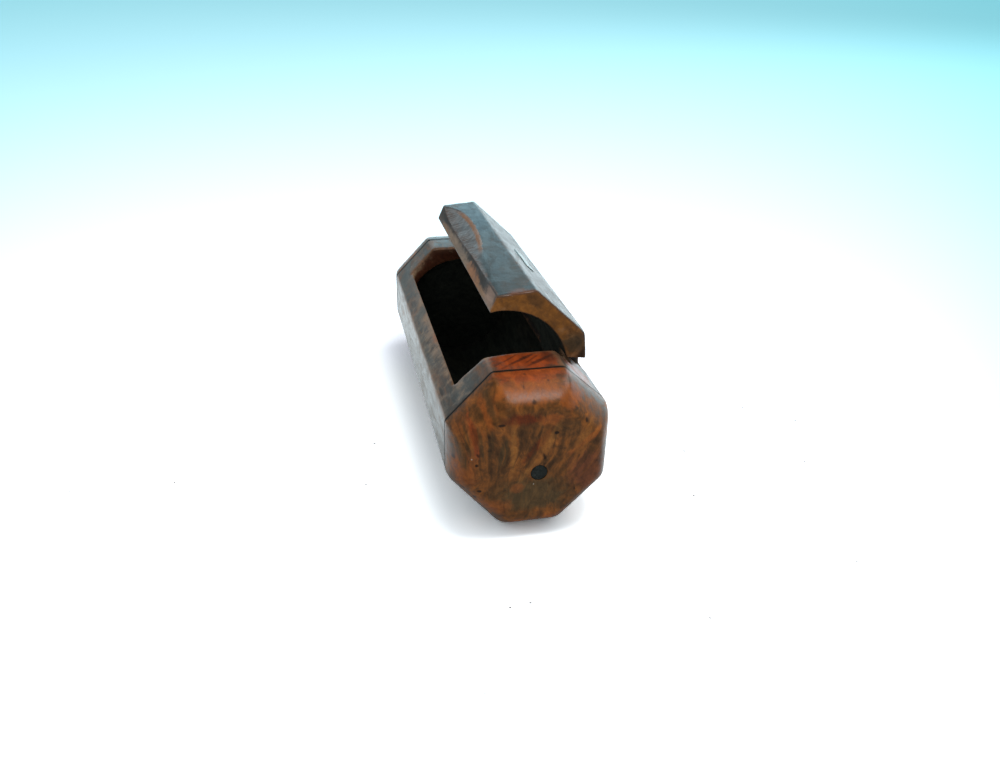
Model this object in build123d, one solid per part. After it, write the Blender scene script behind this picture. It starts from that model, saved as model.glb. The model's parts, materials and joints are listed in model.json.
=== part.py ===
from build123d import *
import math
import os

# Antique table snuff box: a bored eight-sided block of burr wood, closed by two glued
# end caps, with a lid cut from the same block and hung on a carved wooden hinge.
# The box lies along Y, the front (thumb) side faces -X, the hinge is on the +X side,
# and Z = 0 is the flat underside. Millimetres. The lid is modelled shut, then opened.

# Eight-sided section, hand cut, so its bevels are not all alike
HALF_WIDTH = 17.0
HEIGHT = 34.0
FRONT_TOP_HALF = 7.35
HINGE_TOP_HALF = 7.75
FOOT_HALF = 6.7
FRONT_SHOULDER_Z = 23.8
HINGE_SHOULDER_Z = 25.7
FRONT_FOOT_Z = 12.0
HINGE_FOOT_Z = 10.3
CORNER_RADIUS = 0.7
LID_PROUD = 0.55

# Lengths along the box
JOINT_Y = 42.85
BAND = 8.3
CAP_LENGTH = 10.6

# How the end caps roll over: straight for a short way, then in two arcs to the face,
# drawn in by its own amount along each side, in the order of CORNERS
CAP_STRAIGHT = 0.8
CAP_EDGE_RADIUS = 3.6
CAP_INSETS = (5.4, 5.2, 6.0, 6.2, 6.4, 5.6, 6.4, 5.5)

# Bore for the snuff, a little below the middle of the block
BORE_Z = 16.1
BORE_RADIUS = 14.2

# Where the lid parts from the body, measured down each upper bevel from its top edge
BODY_RIM_DOWN = 8.93
LID_LIP_DOWN = 8.20
RIM_LEAN = 18.7
SHOULDER_DOWN = 5.86
END_GAP = 0.2

# Carved hinge: one fixed knuckle in the middle, a lid knuckle either side of it
PIN_DOWN = 10.0
PIN_DEPTH = 1.15
PIN_RADIUS = 0.6
PIN_RUNNING_GAP = 0.05
PIN_HALF_LENGTH = 42.4
KNUCKLE_RADIUS = 1.85
KNUCKLE_GAP = 0.15
FIXED_KNUCKLE_HALF = 13.5
LID_KNUCKLE_OUTER = 29.2
LID_OPEN = 43.0

# Thumb scoop filed into the lid's front bevel: place along the lid, distance of its
# upper edge down the bevel, height of the little wall there, depth at the lid's lip
SCOOP_STATIONS = (
    (33.4, 8.30, 0.05, 0.20),
    (31.6, 7.40, 0.15, 0.60),
    (29.5, 6.20, 0.25, 0.85),
    (27.0, 5.05, 0.30, 0.95),
    (23.0, 4.25, 0.35, 1.00),
    (18.0, 3.90, 0.35, 1.00),
    (13.5, 3.75, 0.35, 1.00),
    (7.0, 4.00, 0.32, 0.95),
    (0.0, 4.70, 0.28, 0.85),
    (-10.0, 6.25, 0.20, 0.60),
    (-20.0, 6.90, 0.15, 0.45),
    (-30.0, 7.20, 0.10, 0.35),
    (-34.5, 7.40, 0.10, 0.30),
)
SCOOP_TOP_DOWN = 3.75
SCOOP_WALL_RUN = 0.45
SCOOP_PAST_LIP = 1.6

# Small trim
STRING_WIDTH = 0.35
STRING_DEPTH = 0.9
SPIGOT_LENGTH = 4.5
SPIGOT_GAP = 0.05
PLUG_RADIUS = 1.75
PLUG_DEPTH = 4.0
PLUG_X = 0.5
PLUG_Z = 15.8
TABLET_LENGTH = 12.7
TABLET_WIDTH = 3.0
TABLET_X = -0.5
TABLET_Y = -2.9
TABLET_THICK = 0.9
TABLET_PROUD = 0.14
TABLET_CORNER = 0.7

BIG = 60.0
REACH = 40.0


def unit(dx, dz):
    """Direction of length one in the section plane."""
    size = math.hypot(dx, dz)
    return dx / size, dz / size


def along(point, direction, distance):
    """Point reached from another one along a direction in the section plane."""
    return point[0] + direction[0] * distance, point[1] + direction[1] * distance


CORNERS = (
    (-FRONT_TOP_HALF, HEIGHT),
    (-HALF_WIDTH, FRONT_SHOULDER_Z),
    (-HALF_WIDTH, FRONT_FOOT_Z),
    (-FOOT_HALF, 0),
    (FOOT_HALF, 0),
    (HALF_WIDTH, HINGE_FOOT_Z),
    (HALF_WIDTH, HINGE_SHOULDER_Z),
    (HINGE_TOP_HALF, HEIGHT),
)
# The lid has shrunk less than the bands, so its top stands a little proud of them
LID_TOP = HEIGHT + LID_PROUD
LID_CORNERS = ((-FRONT_TOP_HALF, LID_TOP), *CORNERS[1:7], (HINGE_TOP_HALF, LID_TOP))
OPENING_Y = JOINT_Y - BAND
FRONT_TOP = CORNERS[0]
HINGE_TOP = CORNERS[7]
FRONT_DOWN = unit(CORNERS[1][0] - FRONT_TOP[0], CORNERS[1][1] - FRONT_TOP[1])
HINGE_DOWN = unit(CORNERS[6][0] - HINGE_TOP[0], CORNERS[6][1] - HINGE_TOP[1])
LID_FRONT_DOWN = unit(CORNERS[1][0] - FRONT_TOP[0], CORNERS[1][1] - LID_TOP)
HINGE_NORMAL = (-HINGE_DOWN[1], HINGE_DOWN[0])
PIVOT = along(along(HINGE_TOP, HINGE_DOWN, PIN_DOWN), HINGE_NORMAL, -PIN_DEPTH)
RADIAL = unit(PIVOT[0], PIVOT[1] - BORE_Z)
RADIAL_ANGLE = math.degrees(math.atan2(RADIAL[1], RADIAL[0]))
SHOULDER_POINT = along(HINGE_TOP, HINGE_DOWN, SHOULDER_DOWN)
SHOULDER_LEVEL = (
    -(SHOULDER_POINT[0] - PIVOT[0]) * RADIAL[1] + (SHOULDER_POINT[1] - PIVOT[1]) * RADIAL[0]
)
SEAT_RADIUS = KNUCKLE_RADIUS + KNUCKLE_GAP
INSIDE = BORE_RADIUS - 6.0
PIN_AXIS = Axis((PIVOT[0], 0, PIVOT[1]), (0, 1, 0))


def slab(face, y_low, y_high):
    """Section-plane face made solid between two stations along the box."""
    return extrude(Plane.XZ.offset(-y_high) * face, amount=y_high - y_low)


def section(inset=0.0, corners=CORNERS):
    """Eight-sided section, moved in by inset, with softened corners."""
    outline = Polygon(*corners, align=None)
    if inset > 0:
        outline = offset(outline, amount=-inset, kind=Kind.INTERSECTION)
    return fillet(outline.vertices(), CORNER_RADIUS)


def bore(radius, y_low, y_high):
    """Round bar on the axis of the snuff bore."""
    return slab(Pos(0, BORE_Z) * Circle(radius), y_low, y_high)


def front_cut(down):
    """Edge points of a cut through the front wall: outside the bevel, then in the bore."""
    start = along(FRONT_TOP, FRONT_DOWN, down)
    lean = math.radians(RIM_LEAN)
    direction = (math.sin(lean), -math.cos(lean))
    return along(start, direction, -8.0), along(start, direction, 9.0)


def lid_region(front_down, hinge_edge):
    """Everything above a front cut and a hinge-side edge drawn in the hinge's own frame.

    The hinge frame has its origin on the pin, X out along the bore's radius and Y towards
    the lid. The edge runs from the bore side to the outside.
    """
    hinge = Pos(*PIVOT) * Rot(0, 0, RADIAL_ANGLE)
    outer, inner = front_cut(front_down)
    edge = [hinge * piece for piece in hinge_edge]
    first = edge[0] @ 0
    last = edge[-1] @ 1
    rest = Polyline(
        (last.X, last.Y), (BIG, BIG), (-BIG, BIG), outer, inner, (first.X, first.Y)
    )
    return make_face(Curve() + edge + rest)


def straight_edge(level):
    """Hinge-side edge that is a plain line at one level above the pin."""
    return [Line((-INSIDE, level), (REACH, level))]


def over_edge(level, radius):
    """Hinge-side edge that climbs over a round knuckle standing on the line."""
    reach = math.sqrt(radius ** 2 - level ** 2)
    return [
        Line((-INSIDE, level), (-reach, level)),
        ThreePointArc((-reach, level), (0, radius), (reach, level)),
        Line((reach, level), (REACH, level)),
    ]


def under_edge(radius):
    """Hinge-side edge that passes below the pin and turns up round it outside."""
    half = radius * math.sqrt(0.5)
    return [
        Line((-INSIDE, -radius), (0, -radius)),
        ThreePointArc((0, -radius), (half, -half), (radius, 0)),
        Line((radius, 0), (REACH, 0)),
    ]


def make_box_body():
    """Bored block with its mouth, hinge notches and fixed middle knuckle."""
    body = slab(section(), -JOINT_Y, JOINT_Y) - bore(BORE_RADIUS, -BIG, BIG)
    shoulder = lid_region(BODY_RIM_DOWN, straight_edge(SHOULDER_LEVEL))
    notch = lid_region(BODY_RIM_DOWN, under_edge(SEAT_RADIUS))
    knuckle = lid_region(BODY_RIM_DOWN, over_edge(0.0, KNUCKLE_RADIUS))
    body -= slab(shoulder, -OPENING_Y, OPENING_Y)
    body -= slab(notch, FIXED_KNUCKLE_HALF, LID_KNUCKLE_OUTER)
    body -= slab(notch, -LID_KNUCKLE_OUTER, -FIXED_KNUCKLE_HALF)
    body -= slab(knuckle, -FIXED_KNUCKLE_HALF, FIXED_KNUCKLE_HALF)
    return body - slab(Pos(*PIVOT) * Circle(PIN_RADIUS), -BIG, BIG)


def scoop_section(y, down, wall, depth):
    """Cross-section of the filed scoop at one station, on the lid's front bevel."""
    normal = (LID_FRONT_DOWN[1], -LID_FRONT_DOWN[0])
    far_down = LID_LIP_DOWN + SCOOP_PAST_LIP
    slope = (depth - wall) / (LID_LIP_DOWN - SCOOP_TOP_DOWN)
    end_depth = wall + slope * (far_down - down)
    corners = (
        (down, 2.0),
        (down, 0.0),
        (down + SCOOP_WALL_RUN, -wall),
        (far_down, -end_depth),
        (far_down, 2.0),
    )
    points = []
    for distance, height in corners:
        x, z = along(along(LID_CORNERS[0], LID_FRONT_DOWN, distance), normal, height)
        points.append(Vector(x, y, z))
    return Face(Wire.make_polygon(points))


def make_scoop():
    """Long hollow under the thumb: steep at the far end, a gentle tail at the near end."""
    faces = [scoop_section(*station) for station in SCOOP_STATIONS]
    pieces = []
    for first, second in zip(faces, faces[1:]):
        pieces.append(loft([first, second], ruled=True))
    scoop = pieces[0]
    for piece in pieces[1:]:
        scoop += piece
    return scoop


def tablet_blank(low, high):
    """Rounded oblong of the tablet between two heights on the shut lid."""
    face = Pos(TABLET_X, TABLET_Y) * RectangleRounded(TABLET_WIDTH, TABLET_LENGTH, TABLET_CORNER)
    return extrude(Plane.XY.offset(low) * face, amount=high - low)


def open_up(shape):
    """Turn a piece of the shut lid about the pin to the angle it stands open."""
    return shape.rotate(PIN_AXIS, LID_OPEN)


def make_lid():
    """Lid with its two knuckles, hollow for the fixed knuckle, scoop and tablet seat."""
    side_gap = KNUCKLE_GAP
    lid_y = OPENING_Y - END_GAP
    inner = FIXED_KNUCKLE_HALF + side_gap
    outer = LID_KNUCKLE_OUTER - side_gap
    tongue = lid_region(LID_LIP_DOWN, under_edge(KNUCKLE_RADIUS))
    hollow = lid_region(LID_LIP_DOWN, over_edge(KNUCKLE_GAP, SEAT_RADIUS))
    plain = lid_region(LID_LIP_DOWN, straight_edge(SHOULDER_LEVEL + KNUCKLE_GAP))
    outline = section(corners=LID_CORNERS)
    lid = slab(outline & hollow, -inner, inner)
    for sign in (-1, 1):
        low, high = sorted((sign * inner, sign * outer))
        lid += slab(outline & tongue, low, high)
        low, high = sorted((sign * outer, sign * lid_y))
        lid += slab(outline & plain, low, high)
    lid -= bore(BORE_RADIUS, -BIG, BIG)
    lid -= slab(Pos(*PIVOT) * Circle(PIN_RADIUS + PIN_RUNNING_GAP), -BIG, BIG)
    lid -= make_scoop()
    lid -= tablet_blank(LID_TOP + TABLET_PROUD - TABLET_THICK, LID_TOP + 1)
    return open_up(lid)


def make_lid_tablet():
    """Small bare tablet let into the lid's top, standing a little proud."""
    tablet = tablet_blank(LID_TOP + TABLET_PROUD - TABLET_THICK, LID_TOP + TABLET_PROUD)
    rim = tablet.faces().sort_by(Axis.Z)[-1].edges()
    return open_up(chamfer(rim, 0.06))


def pillow_cut(start, end, inset, y):
    """What a file takes off one side of the near cap, so that it rolls into the end face."""
    side = Vector(start[0] - end[0], 0, start[1] - end[1]).normalized()
    outward = Vector(-side.Z, 0, side.X)
    middle = Vector((start[0] + end[0]) / 2, y, (start[1] + end[1]) / 2)
    rise = CAP_LENGTH - CAP_STRAIGHT
    straight_rise = rise - CAP_EDGE_RADIUS
    side_radius = (inset ** 2 + straight_rise ** 2 - CAP_EDGE_RADIUS ** 2) / (
        2 * (inset - CAP_EDGE_RADIUS)
    )
    turn = math.degrees(math.asin(straight_rise / (side_radius - CAP_EDGE_RADIUS)))
    roll = [
        CenterArc((-side_radius, 0), side_radius, 0, turn),
        CenterArc((-inset, straight_rise), CAP_EDGE_RADIUS, turn, 90 - turn),
    ]
    waste = Polyline((-inset, rise), (-inset, rise + 1), (3, rise + 1), (3, 0), (0, 0))
    frame = Plane(origin=middle, x_dir=outward, z_dir=side)
    return extrude(frame * make_face(Curve() + roll + waste), amount=HALF_WIDTH, both=True)


def make_end_cap():
    """Near end cap: octagonal end, softly pillowed, with its turned spigot and plug hole."""
    joint = -JOINT_Y
    string_side = joint - STRING_WIDTH
    face_y = joint - CAP_LENGTH
    cap = slab(section(), face_y, string_side)
    for start, end, inset in zip(CORNERS, CORNERS[1:] + CORNERS[:1], CAP_INSETS):
        cap -= pillow_cut(start, end, inset, joint - CAP_STRAIGHT)
    cap += slab(section(STRING_DEPTH), string_side, joint)
    cap += bore(BORE_RADIUS - SPIGOT_GAP, joint, joint + SPIGOT_LENGTH)
    return cap - plug_bar(face_y - 1, face_y + PLUG_DEPTH)


def plug_bar(y_low, y_high):
    """Round bar on the axis of the plug in the cap's face."""
    return slab(Pos(PLUG_X, PLUG_Z) * Circle(PLUG_RADIUS), y_low, y_high)


def make_stringing():
    """Near line of dark stringing, an eight-sided ring seated in the cap's rebate."""
    ring = section() - section(STRING_DEPTH)
    return slab(ring, -JOINT_Y - STRING_WIDTH, -JOINT_Y)


def make_cap_plug():
    """Near turned plug that fills the hole in the middle of the cap's face."""
    face_y = -JOINT_Y - CAP_LENGTH
    return plug_bar(face_y, face_y + PLUG_DEPTH)


def make_hinge_pin():
    """Wire pin from band to band, hidden by the end caps."""
    return slab(Pos(*PIVOT) * Circle(PIN_RADIUS), -PIN_HALF_LENGTH, PIN_HALF_LENGTH)


def far(shape):
    """The same piece at the far end."""
    return mirror(shape, about=Plane.XZ)


def main():
    """Build every piece and write one file for each."""
    os.makedirs("parts", exist_ok=True)
    end_cap = make_end_cap()
    stringing = make_stringing()
    cap_plug = make_cap_plug()
    pieces = {
        "box_body": make_box_body(),
        "lid": make_lid(),
        "lid_tablet": make_lid_tablet(),
        "hinge_pin": make_hinge_pin(),
        "near_end_cap": end_cap,
        "far_end_cap": far(end_cap),
        "near_stringing": stringing,
        "far_stringing": far(stringing),
        "near_cap_plug": cap_plug,
        "far_cap_plug": far(cap_plug),
    }
    for name, shape in pieces.items():
        export_step(shape, f"parts/{name}.step")
    print("pin axis", round(PIVOT[0], 3), round(PIVOT[1], 3), "radial angle", round(RADIAL_ANGLE, 2))


main()
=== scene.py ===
"""Antique table snuff box of burr wood, standing open on a pale studio floor."""
import json
import logging
import math
from contextlib import contextmanager
from dataclasses import dataclass
from enum import Enum
from typing import Callable, Iterator, Sequence

import bpy
import numpy as np
from mathutils import Matrix, Vector


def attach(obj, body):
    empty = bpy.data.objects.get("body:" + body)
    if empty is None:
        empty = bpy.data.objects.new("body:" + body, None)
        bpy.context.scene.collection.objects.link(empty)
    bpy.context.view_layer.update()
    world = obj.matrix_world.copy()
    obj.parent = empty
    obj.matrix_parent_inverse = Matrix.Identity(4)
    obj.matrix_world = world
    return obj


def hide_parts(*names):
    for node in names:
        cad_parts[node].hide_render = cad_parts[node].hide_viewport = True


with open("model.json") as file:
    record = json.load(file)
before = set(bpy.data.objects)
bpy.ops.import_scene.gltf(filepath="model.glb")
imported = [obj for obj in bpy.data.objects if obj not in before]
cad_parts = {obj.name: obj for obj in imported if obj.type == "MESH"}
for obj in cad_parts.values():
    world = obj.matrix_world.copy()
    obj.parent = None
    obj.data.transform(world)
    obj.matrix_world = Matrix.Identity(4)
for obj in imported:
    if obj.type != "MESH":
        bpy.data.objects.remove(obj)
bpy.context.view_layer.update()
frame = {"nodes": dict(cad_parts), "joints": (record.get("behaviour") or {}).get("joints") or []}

log = logging.getLogger("snuff_box")

# One millimetre in metres, and a reach in millimetres that is clear of the box on every side
MM = 0.001
CLEAR = 60.0

Point = tuple[float, float]
Triple = tuple[float, float, float]
Colour = tuple[float, float, float]
Stops = Sequence[tuple[float, Colour]]
Piece = bpy.types.Object


# Bench tools: the operators every piece is made with

def clear_selection() -> None:
    """Leave nothing selected, so that an operator touches only what it is given."""
    if bpy.context.object and bpy.context.object.mode != "OBJECT":
        bpy.ops.object.mode_set(mode="OBJECT")
    bpy.ops.object.select_all(action="DESELECT")


def take(piece: Piece) -> None:
    """Select one piece alone and make it the active one."""
    clear_selection()
    piece.select_set(True)
    bpy.context.view_layer.objects.active = piece


@contextmanager
def editing(piece: Piece) -> Iterator[None]:
    """Work on a piece's faces in edit mode, with what is selected left as it is."""
    take(piece)
    bpy.ops.object.mode_set(mode="EDIT")
    bpy.ops.mesh.select_mode(type="FACE")
    yield
    bpy.ops.object.mode_set(mode="OBJECT")


def finish_with(piece: Piece, kind: str, **settings: object) -> None:
    """Add one modifier and apply it.

    Args:
        piece: the mesh to finish.
        kind: the modifier's type name.
        **settings: its properties.
    """
    take(piece)
    modifier = piece.modifiers.new(kind.title(), kind)
    for name, value in settings.items():
        setattr(modifier, name, value)
    bpy.ops.object.modifier_apply(modifier=modifier.name)


def combine(piece: Piece, tool: Piece, how: str, solver: str = "EXACT") -> None:
    """Cut, clip or join a piece with a tool, which is used up.

    Args:
        piece: the piece that stays.
        tool: the other solid.
        how: DIFFERENCE, INTERSECT or UNION.
        solver: the boolean solver's name.
    """
    finish_with(piece, "BOOLEAN", object=tool, operation=how, solver=solver)
    bpy.data.objects.remove(tool)


def loft(name: str, rings: Sequence[Sequence[Vector]]) -> Piece:
    """Extrude a closed bar from ring to ring.

    Args:
        name: the piece's name.
        rings: outlines with the same number of corners each, in millimetres.

    Returns:
        The closed bar, its normals outwards.
    """
    clear_selection()
    bpy.ops.mesh.primitive_circle_add(vertices=len(rings[0]), radius=MM, fill_type="NGON")
    bar = bpy.context.object
    bar.name = name
    for vertex, corner in zip(bar.data.vertices, rings[0]):
        vertex.co = corner * MM
    with editing(bar):
        bpy.ops.mesh.select_all(action="SELECT")
    last = [corner * MM for corner in rings[0]]
    for ring in rings[1:]:
        with editing(bar):
            bpy.ops.mesh.extrude_region_move(TRANSFORM_OT_translate={"value": (0, 0, 0)})
        for vertex in [v for v in bar.data.vertices if v.select]:
            nearest = min(range(len(last)), key=lambda k: (last[k] - vertex.co).length_squared)
            vertex.co = ring[nearest] * MM
        last = [corner * MM for corner in ring]
    with editing(bar):
        bpy.ops.mesh.select_all(action="SELECT")
        bpy.ops.mesh.normals_make_consistent(inside=False)
    return bar


def prism(name: str, outline: Sequence[Point], y_low: float, y_high: float) -> Piece:
    """Saw a straight bar along Y out of an outline.

    Args:
        name: the piece's name.
        outline: corners of the section, as (x, z) in millimetres.
        y_low: near end, in millimetres.
        y_high: far end, in millimetres.

    Returns:
        The closed bar.
    """
    return loft(name, [[Vector((x, y, z)) for x, z in outline] for y in (y_low, y_high)])


def arc(centre: Point, radius: float, start: float, end: float, steps: int) -> list[Point]:
    """Points of an arc, in degrees, both ends included."""
    turns = [math.radians(start + (end - start) * i / steps) for i in range(steps + 1)]
    return [(centre[0] + radius * math.cos(t), centre[1] + radius * math.sin(t)) for t in turns]


def disc(centre: Point, radius: float, steps: int = 48) -> list[Point]:
    """Corners of a round outline."""
    return arc(centre, radius, 0.0, 360.0, steps)[:-1]


def down(start: Point, end: Point, distance: float) -> Point:
    """Point a distance along the way from one corner to another."""
    share = distance / math.dist(start, end)
    return start[0] + (end[0] - start[0]) * share, start[1] + (end[1] - start[1]) * share


def block_between(y_low: float, y_high: float) -> Piece:
    """Block that reaches past the box on every side, between two saw cuts across it."""
    outline = [(-CLEAR, -CLEAR), (CLEAR, -CLEAR), (CLEAR, CLEAR), (-CLEAR, CLEAR)]
    return prism("saw_block", outline, y_low, y_high)


def copy_of(piece: Piece, name: str) -> Piece:
    """Separate copy of a piece and its mesh."""
    twin = piece.copy()
    twin.data = piece.data.copy()
    twin.name = name
    bpy.context.collection.objects.link(twin)
    return twin


def rows_of(mesh: bpy.types.Mesh, kind: str) -> np.ndarray:
    """Places (co) or normals (normal) of a mesh's vertices, one row each."""
    values = np.empty(len(mesh.vertices) * 3)
    mesh.vertices.foreach_get(kind, values)
    return values.reshape(-1, 3)


def store(mesh: bpy.types.Mesh, name: str, values: Sequence[float], colour: bool = False) -> None:
    """Write a number or a colour for each vertex, for the materials to read."""
    kind, entry = ("FLOAT_COLOR", "color") if colour else ("FLOAT", "value")
    mesh.attributes.new(name, kind, "POINT").data.foreach_set(entry, values)


# The box's section and hinge

@dataclass
class Section:
    """The box's hand-cut eight-sided section, in millimetres."""

    half_width: float = 17.0
    height: float = 34.0
    front_top_half: float = 7.35
    hinge_top_half: float = 7.75
    foot_half: float = 6.7
    front_shoulder: float = 23.8
    hinge_shoulder: float = 25.7
    front_foot: float = 12.0
    hinge_foot: float = 10.3
    bore_z: float = 16.1
    bore_radius: float = 14.2
    bore_sides: int = 120
    joint_y: float = 42.85
    band: float = 8.3
    lid_proud: float = 0.55

    def corners(self) -> list[Point]:
        """Corners in order, from the front edge of the top facet, over the front side."""
        return [
            (-self.front_top_half, self.height),
            (-self.half_width, self.front_shoulder),
            (-self.half_width, self.front_foot),
            (-self.foot_half, 0.0),
            (self.foot_half, 0.0),
            (self.half_width, self.hinge_foot),
            (self.half_width, self.hinge_shoulder),
            (self.hinge_top_half, self.height),
        ]

    def lid_corners(self) -> list[Point]:
        """The lid's own corners: its top stands a little proud of the bands."""
        front, *sides, back = self.corners()
        top = self.height + self.lid_proud
        return [(front[0], top), *sides, (back[0], top)]

    def drawn_in(self, insets: Sequence[float]) -> list[Point]:
        """Outline with each side moved in by its own amount.

        Args:
            insets: one amount for each side, in the order of the corners.

        Returns:
            Eight corners.
        """
        corners = self.corners()
        lines = []
        for start, end, inset in zip(corners, corners[1:] + corners[:1], insets):
            length = math.dist(start, end)
            dx, dz = (end[0] - start[0]) / length, (end[1] - start[1]) / length
            lines.append((start[0] - dz * inset, start[1] + dx * inset, dx, dz))
        outline = []
        for (ax, az, adx, adz), (bx, bz, bdx, bdz) in zip(lines[-1:] + lines[:-1], lines):
            share = ((bx - ax) * bdz - (bz - az) * bdx) / (adx * bdz - adz * bdx)
            outline.append((ax + adx * share, az + adz * share))
        return outline

    def opening_y(self) -> float:
        """Half the length of the mouth."""
        return self.joint_y - self.band

    def lid_bevel(self) -> tuple[Point, Point]:
        """Top edge of the lid's front bevel, and the direction down its face."""
        start, end = self.lid_corners()[:2]
        x, z = down(start, end, 1.0)
        return start, (x - start[0], z - start[1])

    def bored(self, name: str, outline: Sequence[Point], end: float) -> Piece:
        """Eight-sided block with the bore through it.

        Args:
            name: the piece's name.
            outline: its corners.
            end: half its length.

        Returns:
            The bored block.
        """
        block = prism(name, outline, -end, end)
        bore = disc((0.0, self.bore_z), self.bore_radius, self.bore_sides)
        combine(block, prism("bore", bore, -CLEAR, CLEAR), "DIFFERENCE")
        return block


@dataclass
class Hinge:
    """The carved wooden hinge and the two cuts that part the lid from the body."""

    section: Section
    pivot: Point
    body_rim_down: float = 8.93
    lid_lip_down: float = 8.20
    rim_lean: float = 18.7
    shoulder_down: float = 5.86
    pin_radius: float = 0.6
    knuckle_radius: float = 1.85
    gap: float = 0.15
    fixed_half: float = 13.5
    outer: float = 29.2
    inward: float = -8.2
    outward: float = 40.0
    above_cut: float = 8.0
    below_cut: float = 9.0

    def axes(self) -> Point:
        """Direction out along the bore's radius through the pin."""
        rise = self.pivot[1] - self.section.bore_z
        reach = math.hypot(self.pivot[0], rise)
        return self.pivot[0] / reach, rise / reach

    def frame_point(self, out: float, up: float) -> Point:
        """Section point from the hinge's own axes: out from the bore, and up to the lid."""
        ux, uz = self.axes()
        return self.pivot[0] + out * ux - up * uz, self.pivot[1] + out * uz + up * ux

    def seat(self) -> float:
        """Radius of the hollows that the knuckles turn in."""
        return self.knuckle_radius + self.gap

    def drill(self, piece: Piece, clearance: float = 0.0) -> None:
        """Bore the pin's hole through a piece."""
        outline = disc(self.pivot, self.pin_radius + clearance, steps=20)
        combine(piece, prism("pin_hole", outline, -CLEAR, CLEAR), "DIFFERENCE", "MANIFOLD")

    def shoulder_level(self) -> float:
        """Height of the plain shoulders above the pin, across the wall."""
        corners = self.section.corners()
        x, z = down(corners[7], corners[6], self.shoulder_down)
        ux, uz = self.axes()
        return -(x - self.pivot[0]) * uz + (z - self.pivot[1]) * ux

    def region(self, front_down: float, edge: Sequence[Point]) -> list[Point]:
        """Outline of all that lies above a front cut and a hinge-side edge.

        Args:
            front_down: where the front cut crosses the front bevel, from its top edge.
            edge: points in the hinge's own axes, from the bore outwards.

        Returns:
            The closed outline in the section plane.
        """
        corners = self.section.corners()
        x, z = down(corners[0], corners[1], front_down)
        lean = math.radians(self.rim_lean)
        dx, dz = math.sin(lean), -math.cos(lean)
        front = [(x + run * dx, z + run * dz) for run in (-self.above_cut, self.below_cut)]
        return front + [self.frame_point(*point) for point in edge] + [(CLEAR, CLEAR), (-CLEAR, CLEAR)]

    def straight(self, level: float) -> list[Point]:
        """Plain edge at one level."""
        return [(self.inward, level), (self.outward, level)]

    def over(self, level: float, radius: float) -> list[Point]:
        """Edge that climbs over a round knuckle."""
        start = math.degrees(math.asin(level / radius))
        climb = arc((0, 0), radius, 180 - start, start, steps=16)
        return [(self.inward, level), *climb, (self.outward, level)]

    def under(self, radius: float) -> list[Point]:
        """Edge that passes below the pin and turns up round it outside."""
        turn = arc((0, 0), radius, 270, 360, steps=10)
        return [(self.inward, -radius), *turn, (self.outward, 0.0)]


# Wear: soft edges, uneven hand-cut faces, and the masks that the finishes read

def facet_depth(points: np.ndarray, corners: Sequence[Point]) -> np.ndarray:
    """Distance of points below the nearest outer facet, in millimetres."""
    depth = np.full(len(points), np.inf)
    for start, end in zip(corners, list(corners[1:]) + [corners[0]]):
        length = math.dist(start, end)
        nx, nz = -(end[1] - start[1]) / length, (end[0] - start[0]) / length
        depth = np.minimum(depth, (points[:, 0] - start[0]) * nx + (points[:, 2] - start[1]) * nz)
    return depth


def rising(values: np.ndarray, start: float, span: float) -> np.ndarray:
    """Mask that rises from 0 to 1 over a span of values."""
    return np.clip((values - start) / span, 0.0, 1.0)


def bore_and_sawn(
    points: np.ndarray, section: Section, corners: Sequence[Point],
) -> tuple[np.ndarray, np.ndarray]:
    """Masks of the bore's wall, and of the sawn faces between it and the outer facets.

    Args:
        points: places in millimetres.
        section: the box's section.
        corners: the outer corners of the piece.

    Returns:
        The two masks.
    """
    within = section.bore_radius - np.hypot(points[:, 0], points[:, 2] - section.bore_z)
    inside = rising(within, start=-0.35, span=0.3)
    sawn = rising(facet_depth(points, corners), start=0.25, span=0.3)
    return inside, sawn * (1 - inside)


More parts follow.
